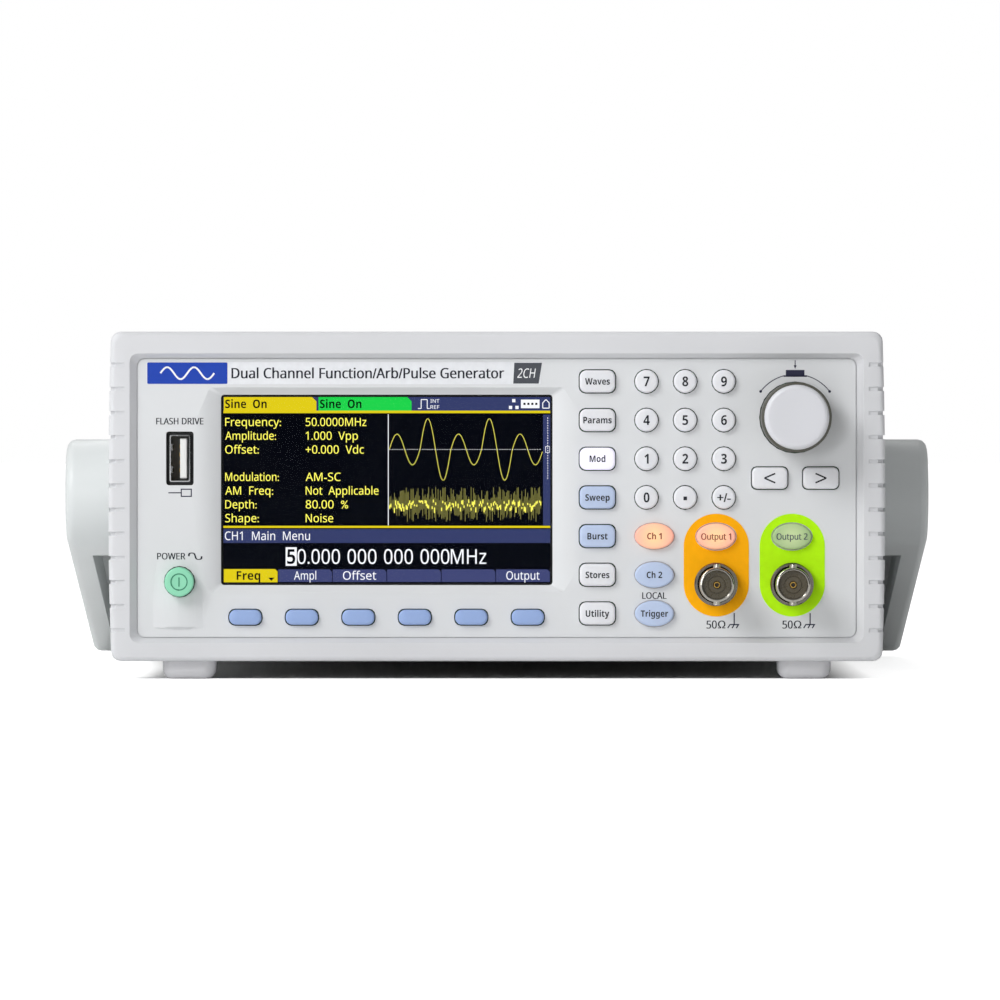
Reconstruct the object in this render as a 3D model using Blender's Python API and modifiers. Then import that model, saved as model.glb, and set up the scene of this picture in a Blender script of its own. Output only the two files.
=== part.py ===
"""Two-channel bench function generator in a half-rack case with a swinging handle.

Metres, +Z up. The front panel faces -Y and +X is to the right of someone facing it. The origin is
on the ground, under the middle of the object's box. Depths are measured back from the front
bezel's face, and heights up from the ground.
"""

import math

import bmesh
import bpy
from mathutils import Matrix

MM = 0.001

# Gap between pieces that face each other, and between a sliding piece and its guide.
GAP = 0.3 * MM

# Case: front and rear bezels around a sheet-steel cover and tray.
CASE_WIDTH = 215.5 * MM
CASE_HEIGHT = 92.0 * MM
CASE_DEPTH = 258.0 * MM
FOOT_HEIGHT = 5.0 * MM
CASE_CORNER = 2.8 * MM
SIDE_BULGE = 0.7 * MM
BEZEL_DEPTH = 16.0 * MM
BEZEL_ROUND = 1.5 * MM
BEZEL_LIP = 2.0 * MM
SHEET = 1.0 * MM
TRAY_WALL = 13.0 * MM
TRAY_BEND = 1.5 * MM
CONTROLS_REACH = 13.5 * MM

# Front panel, seen inside the bezel's sloped reveal.
PANEL_WIDTH = 200.4 * MM
PANEL_BOTTOM = 11.75 * MM
PANEL_TOP = 89.3 * MM
PANEL_CORNER = 2.0 * MM
PANEL_DEPTH = 2.0 * MM
PANEL_THICKNESS = 2.5 * MM
REVEAL_SIDE = 1.95 * MM
REVEAL_TOP = 1.3 * MM

# Grooves across the bezel's sides.
GROOVE_COUNT = 12
GROOVE_TOP = 87.75 * MM
GROOVE_PITCH = 6.74 * MM
GROOVE_HEIGHT = 1.1 * MM
GROOVE_REACH = 4.6 * MM
GROOVE_CUT = 0.35 * MM
GROOVE_RUN_OUT = 1.8 * MM

# Display.
DISPLAY_X = -30.75 * MM
DISPLAY_Z = 52.8 * MM
DISPLAY_WIDTH = 92.65 * MM
DISPLAY_HEIGHT = 53.2 * MM
DISPLAY_CORNER = 0.8 * MM
DISPLAY_SLOPE_SIDE = 3.4 * MM
DISPLAY_SLOPE_END = 2.0 * MM
DISPLAY_LAND = 0.6 * MM
WINDOW_LAP = 2.6 * MM
WINDOW_THICKNESS = 1.1 * MM
MODULE_LAP = 6.0 * MM
MODULE_THICKNESS = 5.8 * MM
WINDOW_CORNER = 2.0 * MM
MODULE_EDGE = 0.5 * MM

# Keys: a cap that passes through the panel, on a flange behind it.
KEY_RISE = 1.4 * MM
KEY_FLANGE = 0.8 * MM
KEY_FLANGE_THICKNESS = 0.8 * MM
KEY_EDGE = 0.35 * MM
KEY_ROW_TOP = 83.1 * MM
KEY_PITCH = 10.8 * MM
FUNCTION_KEYS = ("waves", "params", "mod", "sweep", "burst", "stores", "utility")
FUNCTION_X = 28.1 * MM
FUNCTION_SIZE = (9.9 * MM, 6.2 * MM)
FUNCTION_CORNER = 1.9 * MM
NUMBER_ROWS = (("7", "8", "9"), ("4", "5", "6"), ("1", "2", "3"), ("0", "point", "sign"))
NUMBER_X = 41.8 * MM
NUMBER_SIZE = (6.4 * MM, 6.4 * MM)
OVAL_SIZE = (10.9 * MM, 7.2 * MM)
CHANNEL_X = 44.0 * MM
CURSOR_X = (76.2 * MM, 90.45 * MM)
CURSOR_Z = 56.1 * MM
CURSOR_SIZE = (9.9 * MM, 6.0 * MM)
CURSOR_CORNER = 1.5 * MM
SOFT_COUNT = 6
SOFT_X = -70.2 * MM
SOFT_PITCH = 15.77 * MM
SOFT_Z = 17.25 * MM
SOFT_SIZE = (9.0 * MM, 4.2 * MM)
SOFT_CORNER = 1.9 * MM

# Output sockets, 50 ohm coaxial with a bayonet ring.
OUTPUT_X = (61.2 * MM, 82.4 * MM)
OUTPUT_Z = 26.45 * MM
OUTPUT_KEY_Z = 39.8 * MM
SOCKET_BARREL = 9.6 * MM
SOCKET_BORE = 8.1 * MM
SOCKET_RING = 12.1 * MM
SOCKET_BUSH = 10.4 * MM
SOCKET_REACH = 12.5 * MM
SOCKET_INSULATOR = 4.7 * MM
SOCKET_LUG = 2.0 * MM
SOCKET_LUG_RISE = 0.9 * MM
SOCKET_LUG_SETBACK = 3.0 * MM
SOCKET_FLANGE = 2.0 * MM
SOCKET_HOLLOW = 8.5 * MM
SOCKET_POST_SETBACK = 1.2 * MM
SOCKET_EDGE = 0.3 * MM
SOCKET_TAIL = 14.0 * MM

# Rotary control.
KNOB_X = 83.3 * MM
KNOB_Z = 73.05 * MM
KNOB_DIAMETER = 19.5 * MM
KNOB_WELL = KNOB_DIAMETER + 2 * GAP
KNOB_ROUND = 1.2 * MM
KNOB_SINK = 1.0 * MM
KNOB_FRONT_WALL = 5.0 * MM
SPINDLE_DIAMETER = 6.0 * MM
ENCODER_SIZE = 12.2 * MM
ENCODER_DEPTH = 7.0 * MM
PLUNGER_DIAMETER = 10.0 * MM
PLUNGER_THICKNESS = 1.0 * MM

# USB host socket, standing upright.
USB_X = -88.5 * MM
USB_Z = 61.6 * MM
USB_SLOT = (7.7 * MM, 15.0 * MM)
USB_SHELL = (5.7 * MM, 13.1 * MM)
USB_CAVITY = (5.0 * MM, 12.4 * MM)
USB_TONGUE = (1.8 * MM, 11.1 * MM)
USB_BODY = (9.0 * MM, 16.4 * MM)
USB_BODY_DEPTH = 12.0 * MM
USB_FLOOR = 3.0 * MM
USB_TONGUE_SETBACK = 0.6 * MM
USB_TONGUE_SIDE = 0.4 * MM
USB_SLOT_CORNER = 0.7 * MM

# Power button and the switch that it works.
POWER_X = -88.6 * MM
POWER_Z = 27.15 * MM
POWER_DIAMETER = 8.2 * MM
POWER_RISE = 4.0 * MM
POWER_STEM = 4.4 * MM
POWER_STEM_LENGTH = 10.5 * MM
POWER_TRAVEL = 3.0 * MM
SWITCH_SIZE = 10.0 * MM
SWITCH_DEPTH = 15.0 * MM
POWER_EDGE = 0.5 * MM

# Raised hump around the power button, which ends in a sloped lip.
HUMP_CENTRE = -89.0 * MM
HUMP_WIDTH = 16.4 * MM
HUMP_TOP = 44.0 * MM
HUMP_LIP = 14.6 * MM
HUMP_RISE = 0.8 * MM
HUMP_STEPS = 10
HUMP_SUNK = 0.2 * MM

# Boards and modules inside the case.
BOARD = 1.6 * MM
KEYPAD_DEPTH = 7.4 * MM
KEYPAD_MARGIN = 2.0 * MM
HOLE_CORNER = 0.5 * MM
MAIN_BOARD_X = (-38.0 * MM, 99.0 * MM)
MAIN_BOARD_Y = (24.0 * MM, CASE_DEPTH - 15.0 * MM)
MAIN_BOARD_Z = 14.0 * MM
SUPPLY_BOX = (52.0 * MM, CASE_DEPTH - 98.0 * MM, 46.0 * MM)
SUPPLY_CENTRE = (-70.0 * MM, CASE_DEPTH / 2 + 6.0 * MM, 37.0 * MM)

# Rear panel and its connectors.
REAR_REVEAL = 4.0 * MM
REAR_THICKNESS = 1.5 * MM
REAR_SOCKET_X = (24.0 * MM, 44.0 * MM, 64.0 * MM, 84.0 * MM)
REAR_SOCKET_Z = 30.0 * MM
REAR_SOCKET_REACH = 10.5 * MM
REAR_SOCKET_TAIL = 6.0 * MM
REAR_BODY_WIDTH = 14.0 * MM
REAR_BODY_RISE = 7.0 * MM
REAR_BODY_GAP = 4.0 * MM
PORT_OUT = 0.5 * MM
BOARD_SEAT = 12.0 * MM
HEAT_SINK_SIZE = (40.0 * MM, 60.0 * MM, 22.0 * MM)
HEAT_SINK_X = 50.0 * MM
HEAT_SINK_Y = 100.0 * MM
NETWORK_PORT = (-4.0 * MM, 22.0 * MM, 15.9 * MM, 13.4 * MM)
DEVICE_PORT = (-26.0 * MM, 21.0 * MM, 12.0 * MM, 10.8 * MM)
INLET_X = -73.0 * MM
INLET_Z = 46.0 * MM
INLET_FLANGE = (50.0 * MM, 30.6 * MM)
INLET_FLANGE_THICKNESS = 2.5 * MM
INLET_FLANGE_EDGE = 0.8 * MM
INLET_BODY = (27.0 * MM, 20.0 * MM)
INLET_CAVITY = (24.4 * MM, 16.6 * MM)
INLET_CAVITY_DEPTH = 16.0 * MM
INLET_BODY_DEPTH = 22.0 * MM
INLET_PIN = (2.0 * MM, 4.0 * MM)
INLET_PIN_PITCH = 7.0 * MM
INLET_PIN_INSET = 5.0 * MM
INLET_PIN_STEP = 2.0 * MM
VENT_COUNT = 12
VENT_X = 2.0 * MM
VENT_PITCH = 7.0 * MM
VENT_Z = 65.0 * MM
VENT_SIZE = (3.0 * MM, 26.0 * MM)
VENT_CORNER = 1.0 * MM

# Vents in the cover's sides.
SIDE_VENT_COUNT = 9
SIDE_VENT_FIRST = CASE_DEPTH - 88.0 * MM
SIDE_VENT_PITCH = 7.0 * MM
SIDE_VENT_SIZE = (3.0 * MM, 24.0 * MM)
SIDE_VENT_Z = 66.0 * MM

# Handle: two tapering arms that swing about one axis, and a grip behind the case.
HANDLE_DEPTH = 108.0 * MM
HANDLE_Z = 51.0 * MM
ARM_LENGTH = 170.0 * MM
ARM_DROP = math.radians(14.0)
ARM_INNER = CASE_WIDTH / 2 + 3.25 * MM
ARM_OUTER = ARM_INNER + 14.0 * MM
HUB_RADIUS = 16.0 * MM
GRIP_RADIUS = 8.2 * MM
ARM_ROUND = 2.6 * MM
ARM_EDGE = 1.2 * MM
ARM_INNER_WALL = 1.2 * MM
ARM_OUTER_WALL = 7.0 * MM
ARM_GROOVE_FLOOR = 1.5 * MM
BOSS_RADIUS = 12.0 * MM
PIN_RADIUS = 6.0 * MM
PIN_END = ARM_INNER - 10.0 * MM

# Feet, fixed under the tray and reaching out under the bezels.
FOOT_X = 86.0 * MM
FOOT_SETBACK = 3.0 * MM
FOOT_SIZE = (14.8 * MM, 22.0 * MM)
FOOT_ROUND = 2.0 * MM

# Fineness of round shapes.
TURN_STEPS = 24
HOLE_STEPS = 16
CORNER_STEPS = 4

# Everything below follows from the sizes above.
CASE_TOP = FOOT_HEIGHT + CASE_HEIGHT
COVER_WIDTH = CASE_WIDTH - 2 * BEZEL_LIP
COVER_BOTTOM = FOOT_HEIGHT + BEZEL_LIP
COVER_TOP = CASE_TOP - BEZEL_LIP
COVER_INSET = 8.5 * MM
OVERALL_DEPTH = HANDLE_DEPTH + ARM_LENGTH * math.cos(ARM_DROP) + GRIP_RADIUS + CONTROLS_REACH
FRONT_Y = CONTROLS_REACH - OVERALL_DEPTH / 2
PANEL_FRONT = FRONT_Y + PANEL_DEPTH
PANEL_BACK = PANEL_FRONT + PANEL_THICKNESS
PANEL_MID = (PANEL_BOTTOM + PANEL_TOP) / 2
PANEL_HEIGHT = PANEL_TOP - PANEL_BOTTOM
REAR_Y = FRONT_Y + CASE_DEPTH
REAR_FRONT = REAR_Y - REAR_REVEAL


def clear_scene():
    for old in list(bpy.data.objects):
        bpy.data.objects.remove(old, do_unlink=True)


def collection(name, hidden):
    group = bpy.data.collections.new(name)
    group.hide_render = hidden
    bpy.context.scene.collection.children.link(group)
    return group


clear_scene()
PARTS = collection("function_generator", False)
CUTTERS = collection("cutters", True)


def material(name, colour, roughness, metallic=0.0):
    made = bpy.data.materials.new(name)
    made.use_nodes = True
    shader = made.node_tree.nodes["Principled BSDF"]
    shader.inputs["Base Color"].default_value = (*colour, 1.0)
    shader.inputs["Roughness"].default_value = roughness
    shader.inputs["Metallic"].default_value = metallic
    return made


BEZEL_PLASTIC = material("bezel_plastic", (0.66, 0.67, 0.68), 0.5)
PANEL_PLASTIC = material("panel_plastic", (0.62, 0.64, 0.65), 0.5)
HANDLE_PLASTIC = material("handle_plastic", (0.70, 0.71, 0.70), 0.5)
PAINTED_STEEL = material("painted_steel", (0.60, 0.61, 0.62), 0.45, 0.1)
ZINCED_STEEL = material("zinced_steel", (0.70, 0.70, 0.68), 0.35, 0.9)
KEY_WHITE = material("key_white", (0.80, 0.80, 0.82), 0.45)
KEY_BLUE = material("key_blue", (0.56, 0.64, 0.82), 0.45)
KEY_SOFT = material("key_soft", (0.34, 0.46, 0.75), 0.45)
KEY_LIT = material("key_lit", (1.0, 0.53, 0.31), 0.4)
KEY_GREEN = material("key_green", (0.50, 0.70, 0.33), 0.4)
POWER_GREEN = material("power_green", (0.21, 0.63, 0.39), 0.4)
KNOB_PLASTIC = material("knob_plastic", (0.82, 0.82, 0.83), 0.4)
CLEAR_PLASTIC = material("clear_plastic", (0.05, 0.05, 0.06), 0.1)
DISPLAY_BLACK = material("display_black", (0.02, 0.02, 0.02), 0.4)
BOARD_GREEN = material("board_green", (0.03, 0.15, 0.06), 0.5)
NICKEL = material("nickel", (0.66, 0.64, 0.60), 0.25, 1.0)
BLACK_PLASTIC = material("black_plastic", (0.02, 0.02, 0.02), 0.5)
FOOT_RUBBER = material("foot_rubber", (0.45, 0.45, 0.46), 0.8)


def place(name, mesh, finish, location=(0.0, 0.0, 0.0), smooth=30.0):
    """Adds a mesh as one named piece, shaded smooth below the given edge angle."""
    mesh.shade_smooth()
    mesh.set_sharp_from_angle(angle=math.radians(smooth))
    mesh.materials.clear()
    mesh.materials.append(finish)
    piece = bpy.data.objects.new(name, mesh)
    piece.location = location
    PARTS.objects.link(piece)
    return piece


def combine(piece, tool, operation="DIFFERENCE"):
    """Cuts the tool from the piece, or joins it on, and keeps the tool hidden."""
    modifier = piece.modifiers.new(tool.name, "BOOLEAN")
    modifier.operation = operation
    modifier.object = tool
    for group in list(tool.users_collection):
        group.objects.unlink(tool)
    CUTTERS.objects.link(tool)
    tool.display_type = "WIRE"
    tool.hide_render = True


def ends(low, high):
    """Centre and length of a span."""
    return (low + high) / 2, high - low


def box_mesh(name, size):
    bm = bmesh.new()
    bmesh.ops.create_cube(bm, size=1.0, matrix=Matrix.Diagonal((*size, 1.0)))
    mesh = bpy.data.meshes.new(name)
    bm.to_mesh(mesh)
    bm.free()
    return mesh


def box(name, size, centre, finish=DISPLAY_BLACK):
    return place(name, box_mesh(name, size), finish, centre)


def rod(name, radius, length, centre, turn, finish=DISPLAY_BLACK, steps=HOLE_STEPS):
    """A cylinder whose axis, Z at first, is turned by the given matrix."""
    bm = bmesh.new()
    bmesh.ops.create_cone(
        bm, cap_ends=True, segments=steps, radius1=radius, radius2=radius, depth=length, matrix=turn
    )
    mesh = bpy.data.meshes.new(name)
    bm.to_mesh(mesh)
    bm.free()
    return place(name, mesh, finish, centre)


ALONG_X = Matrix.Rotation(math.pi / 2, 4, "Y")
ALONG_Y = Matrix.Rotation(math.pi / 2, 4, "X")


def bevelled(piece, width, segments=1, angle=40.0):
    modifier = piece.modifiers.new("rounded edges", "BEVEL")
    modifier.width = width
    modifier.segments = segments
    modifier.limit_method = "ANGLE"
    modifier.angle_limit = math.radians(angle)
    return piece


def rounded_rect(width, height, radius, steps=CORNER_STEPS, bulge=0.0, side_steps=1):
    """Outline points, anticlockwise from the right side; the sides can bulge outwards."""
    points = []
    for quarter in range(4):
        across = 1 if quarter in (0, 3) else -1
        up = 1 if quarter in (0, 1) else -1
        centre = (across * (width / 2 - radius), up * (height / 2 - radius))
        for step in range(steps + 1):
            turn = (quarter + step / steps) * math.pi / 2
            points.append((centre[0] + radius * math.cos(turn), centre[1] + radius * math.sin(turn)))
        if quarter in (1, 3):
            for step in range(1, side_steps):
                along = 1 - 2 * step / side_steps
                edge = across * (width / 2 + bulge * (1 - along * along))
                points.append((edge, up * along * (height / 2 - radius)))
    return points


def ellipse(width, height, steps=HOLE_STEPS):
    turns = [2 * math.pi * step / steps for step in range(steps)]
    return [(width / 2 * math.cos(turn), height / 2 * math.sin(turn)) for turn in turns]


def moved(outline, x, z):
    return [(x + u, z + v) for u, v in outline]


def slab(name, outlines, front, thickness, finish):
    """Flat outlines filled and extruded parallel to the front panel."""
    curve = bpy.data.curves.new(name, "CURVE")
    curve.dimensions = "2D"
    curve.fill_mode = "BOTH"
    curve.extrude = thickness / 2
    for outline in outlines:
        spline = curve.splines.new("POLY")
        spline.points.add(len(outline) - 1)
        spline.use_cyclic_u = True
        for point, (u, v) in zip(spline.points, outline):
            point.co = (u, v, 0.0, 1.0)
    flat = bpy.data.objects.new(name + "_outline", curve)
    PARTS.objects.link(flat)
    graph = bpy.context.evaluated_depsgraph_get()
    mesh = bpy.data.meshes.new_from_object(flat.evaluated_get(graph))
    bpy.data.objects.remove(flat, do_unlink=True)
    bm = bmesh.new()
    bm.from_mesh(mesh)
    bmesh.ops.remove_doubles(bm, verts=bm.verts, dist=GAP / 100)
    bmesh.ops.rotate(bm, verts=bm.verts, matrix=Matrix.Rotation(math.pi / 2, 3, "X"))
    bm.to_mesh(mesh)
    bm.free()
    mesh.name = name
    return place(name, mesh, finish, (0.0, front + thickness / 2, 0.0))


def plate(name, outline, holes, front, thickness, finish):
    """A flat plate parallel to the front panel, with holes through it."""
    piece = slab(name, [outline], front, thickness, finish)
    if holes:
        combine(piece, slab(f"{name}_holes", holes, front - MM, thickness + 2 * MM, finish))
    return piece


def loft(name, rings, closed=False):
    """A skin over rings that have the same number of points, capped at both ends or joined in a loop."""
    bm = bmesh.new()
    loops = [[bm.verts.new(point) for point in ring] for ring in rings]
    pairs = list(zip(loops, loops[1:] + loops[:1]))
    if not closed:
        pairs = pairs[:-1]
        bm.faces.new(loops[0])
        bm.faces.new(loops[-1])
    for first, second in pairs:
        for near in range(len(first)):
            far = (near + 1) % len(first)
            bm.faces.new((first[near], first[far], second[far], second[near]))
    bmesh.ops.recalc_face_normals(bm, faces=bm.faces)
    mesh = bpy.data.meshes.new(name)
    bm.to_mesh(mesh)
    bm.free()
    return mesh


def turned(name, profile, location, finish, backwards=False, steps=TURN_STEPS):
    """A shape turned about Y from (radius, height) points; heights rise towards the front."""
    mesh = bpy.data.meshes.new(name)
    points = [(radius, 0.0, height) for radius, height in profile]
    mesh.from_pydata(points, [(i, i + 1) for i in range(len(points) - 1)], [])
    piece = place(name, mesh, finish, location)
    piece.rotation_euler = (-math.pi / 2 if backwards else math.pi / 2, 0.0, 0.0)
    screw = piece.modifiers.new("turned", "SCREW")
    screw.steps = steps
    screw.render_steps = steps
    screw.use_merge_vertices = True
    screw.merge_threshold = GAP / 100
    return piece


def key(name, outline_of, size, x, z, finish):
    """A key cap with a chamfered front edge, raised from a wider flange behind the panel."""
    width, height = size
    wide = outline_of(width + 2 * KEY_FLANGE, height + 2 * KEY_FLANGE)
    slim = outline_of(width, height)
    front = outline_of(width - 2 * KEY_EDGE, height - 2 * KEY_EDGE)
    flange_front = PANEL_THICKNESS + GAP
    steps = (
        (wide, flange_front + KEY_FLANGE_THICKNESS),
        (wide, flange_front),
        (slim, flange_front),
        (slim, KEY_EDGE - KEY_RISE),
        (front, -KEY_RISE),
    )
    rings = [[(u, depth, v) for u, v in outline] for outline, depth in steps]
    return place(name, loft(name, rings), finish, (x, PANEL_FRONT, z))


def rect_outline(corner):
    return lambda width, height: rounded_rect(width, height, corner, 3)


def grown(outline_of, size, extra=2 * GAP):
    """The outline of the hole that a piece of this size passes through."""
    return outline_of(size[0] + extra, size[1] + extra)


def key_layout():
    """Name, outline, size, place and finish of each key."""
    keys = []
    function_outline = rect_outline(FUNCTION_CORNER)
    blue = ("sweep", "burst")
    for row, label in enumerate(FUNCTION_KEYS):
        finish = KEY_BLUE if label in blue else KEY_WHITE
        z = KEY_ROW_TOP - row * KEY_PITCH
        keys.append(("key_" + label, function_outline, FUNCTION_SIZE, FUNCTION_X, z, finish))
    for row, labels in enumerate(NUMBER_ROWS):
        for column, label in enumerate(labels):
            x = NUMBER_X + column * KEY_PITCH
            z = KEY_ROW_TOP - row * KEY_PITCH
            keys.append(("key_" + label, ellipse, NUMBER_SIZE, x, z, KEY_WHITE))
    ovals = (("key_channel_1", KEY_LIT), ("key_channel_2", KEY_BLUE), ("key_trigger", KEY_BLUE))
    for row, (name, finish) in enumerate(ovals, start=4):
        keys.append((name, ellipse, OVAL_SIZE, CHANNEL_X, KEY_ROW_TOP - row * KEY_PITCH, finish))
    for number, (x, finish) in enumerate(zip(OUTPUT_X, (KEY_LIT, KEY_GREEN)), start=1):
        keys.append((f"key_output_{number}", ellipse, OVAL_SIZE, x, OUTPUT_KEY_Z, finish))
    cursor_outline = rect_outline(CURSOR_CORNER)
    for name, x in zip(("key_cursor_left", "key_cursor_right"), CURSOR_X):
        keys.append((name, cursor_outline, CURSOR_SIZE, x, CURSOR_Z, KEY_WHITE))
    soft_outline = rect_outline(SOFT_CORNER)
    for index in range(SOFT_COUNT):
        x = SOFT_X + index * SOFT_PITCH
        keys.append((f"soft_key_{index + 1}", soft_outline, SOFT_SIZE, x, SOFT_Z, KEY_SOFT))
    return keys


def bezel(name, front, inwards):
    """The moulded frame at one end; inwards is +1 for the front bezel and -1 for the rear one."""

    def ring(width, bottom, top, depth, radius, bulge=0.0):
        outline = rounded_rect(width, top - bottom, radius, CORNER_STEPS, bulge, 6)
        middle = (bottom + top) / 2
        return [(u, front + inwards * depth, middle + v) for u, v in outline]

    panel_bottom = PANEL_BOTTOM - GAP
    panel_top = PANEL_TOP + GAP
    panel_width = PANEL_WIDTH + 2 * GAP
    rings = [ring(CASE_WIDTH, FOOT_HEIGHT, CASE_TOP, BEZEL_DEPTH, CASE_CORNER, SIDE_BULGE)]
    for step in range(4):
        turn = step / 3 * math.pi / 2
        inset = BEZEL_ROUND * (1 - math.cos(turn))
        depth = BEZEL_ROUND * (1 - math.sin(turn))
        low = FOOT_HEIGHT + inset
        high = CASE_TOP - inset
        rings.append(ring(CASE_WIDTH - 2 * inset, low, high, depth, CASE_CORNER, SIDE_BULGE))
    open_width = panel_width + 2 * REVEAL_SIDE
    open_low = panel_bottom - REVEAL_TOP
    open_high = panel_top + REVEAL_TOP
    skirt_width = COVER_WIDTH + 2 * GAP
    skirt_low = COVER_BOTTOM - GAP
    skirt_high = COVER_TOP + GAP
    seat = COVER_INSET - GAP
    rings.append(ring(open_width, open_low, open_high, 0.0, PANEL_CORNER + GAP))
    rings.append(ring(panel_width, panel_bottom, panel_top, PANEL_DEPTH, PANEL_CORNER + GAP))
    rings.append(ring(panel_width, panel_bottom, panel_top, seat, PANEL_CORNER + GAP))
    rings.append(ring(skirt_width, skirt_low, skirt_high, seat, CASE_CORNER))
    rings.append(ring(skirt_width, skirt_low, skirt_high, BEZEL_DEPTH, CASE_CORNER))
    frame = place(name, loft(name, rings, closed=True), BEZEL_PLASTIC)
    side = CASE_WIDTH / 2 + SIDE_BULGE
    for hand in (-1, 1):
        for index in range(GROOVE_COUNT):
            z = GROOVE_TOP - index * GROOVE_PITCH
            tool_name = f"{name}_groove_{hand}_{index}"
            # The cutter reaches across the front face and wraps round onto the side.
            inner = side - GROOVE_REACH
            outer = side + GROOVE_CUT
            shallow = side - GROOVE_CUT - SIDE_BULGE * 0.4
            outline = [
                (hand * inner, front - inwards * GROOVE_CUT),
                (hand * outer, front - inwards * GROOVE_CUT),
                (hand * outer, front + inwards * (BEZEL_DEPTH - GROOVE_RUN_OUT)),
                (hand * shallow, front + inwards * (BEZEL_DEPTH - GROOVE_RUN_OUT)),
                (hand * shallow, front + inwards * (BEZEL_ROUND + GROOVE_CUT)),
                (hand * (shallow - BEZEL_ROUND), front + inwards * GROOVE_CUT),
                (hand * inner, front + inwards * GROOVE_CUT),
            ]
            levels = (z - GROOVE_HEIGHT / 2, z + GROOVE_HEIGHT / 2)
            rings = [[(u, v, level) for u, v in outline] for level in levels]
            combine(frame, place(tool_name, loft(tool_name, rings), BEZEL_PLASTIC))
    return frame


def power_hump():
    """A low swelling that grows downwards from above the power button to a sloped lip below it."""
    sunk = HUMP_SUNK
    back = PANEL_THICKNESS / 2
    levels = ((HUMP_TOP, 0.0), ((HUMP_TOP + HUMP_LIP) / 2, 0.5), (HUMP_LIP, 1.0))
    levels += ((HUMP_LIP - HUMP_RISE - sunk, 0.0),)
    rings = []
    for z, share in levels:
        ring = []
        for step in range(HUMP_STEPS + 1):
            across = 2 * step / HUMP_STEPS - 1
            rise = HUMP_RISE * share * (1 - across * across) - sunk * abs(across)
            depth = sunk if share == 0.0 else -rise
            ring.append((HUMP_CENTRE + across * HUMP_WIDTH / 2, PANEL_FRONT + depth, z))
        ring.append((HUMP_CENTRE + HUMP_WIDTH / 2, PANEL_FRONT + back, z))
        ring.append((HUMP_CENTRE - HUMP_WIDTH / 2, PANEL_FRONT + back, z))
        rings.append(ring)
    return loft("power_hump", rings)


def front_panel(keys):
    """The moulded front panel, with an opening for every control and a sloped display surround."""
    edge = moved(rounded_rect(PANEL_WIDTH, PANEL_HEIGHT, PANEL_CORNER), 0.0, PANEL_MID)
    display = rounded_rect(DISPLAY_WIDTH, DISPLAY_HEIGHT, DISPLAY_CORNER, 2)
    holes = [moved(display, DISPLAY_X, DISPLAY_Z)]
    for _name, outline_of, size, x, z, _finish in keys:
        holes.append(moved(grown(outline_of, size), x, z))
    for x in OUTPUT_X:
        hole = SOCKET_BUSH + 2 * GAP
        holes.append(moved(ellipse(hole, hole), x, OUTPUT_Z))
    holes.append(moved(ellipse(KNOB_WELL, KNOB_WELL, TURN_STEPS), KNOB_X, KNOB_Z))
    holes.append(moved(rounded_rect(*USB_SLOT, USB_SLOT_CORNER, 2), USB_X, USB_Z))
    holes.append(moved(grown(ellipse, (POWER_DIAMETER, POWER_DIAMETER)), POWER_X, POWER_Z))
    panel = slab("front_panel", [edge], PANEL_FRONT, PANEL_THICKNESS, PANEL_PLASTIC)
    combine(panel, place("power_hump", power_hump(), PANEL_PLASTIC), "UNION")
    through = PANEL_THICKNESS + 4 * MM
    combine(panel, slab("panel_holes", holes, PANEL_FRONT - 2 * MM, through, PANEL_PLASTIC))

    # Display surround: slopes in from the panel's face to a short straight edge at its back.
    over = DISPLAY_LAND / 2
    slope = PANEL_THICKNESS - DISPLAY_LAND
    rings = []
    for depth in (-over, slope + over):
        share = (slope - depth) / slope
        width = DISPLAY_WIDTH + 2 * DISPLAY_SLOPE_SIDE * share
        height = DISPLAY_HEIGHT + 2 * DISPLAY_SLOPE_END * share
        outline = moved(rounded_rect(width, height, DISPLAY_CORNER, 2), DISPLAY_X, DISPLAY_Z)
        rings.append([(u, PANEL_FRONT + depth, v) for u, v in outline])
    combine(panel, place("display_slope", loft("display_slope", rings), PANEL_PLASTIC))
    return panel


def display():
    width = DISPLAY_WIDTH + 2 * WINDOW_LAP
    height = DISPLAY_HEIGHT + 2 * WINDOW_LAP
    outline = moved(rounded_rect(width, height, WINDOW_CORNER, 3), DISPLAY_X, DISPLAY_Z)
    plate("display_window", outline, [], PANEL_BACK + GAP, WINDOW_THICKNESS, CLEAR_PLASTIC)
    size = (DISPLAY_WIDTH + 2 * MODULE_LAP, MODULE_THICKNESS, height)
    depth = PANEL_BACK + 2 * GAP + WINDOW_THICKNESS + MODULE_THICKNESS / 2
    module = box("display_module", size, (DISPLAY_X, depth, DISPLAY_Z), DISPLAY_BLACK)
    bevelled(module, MODULE_EDGE)


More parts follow.
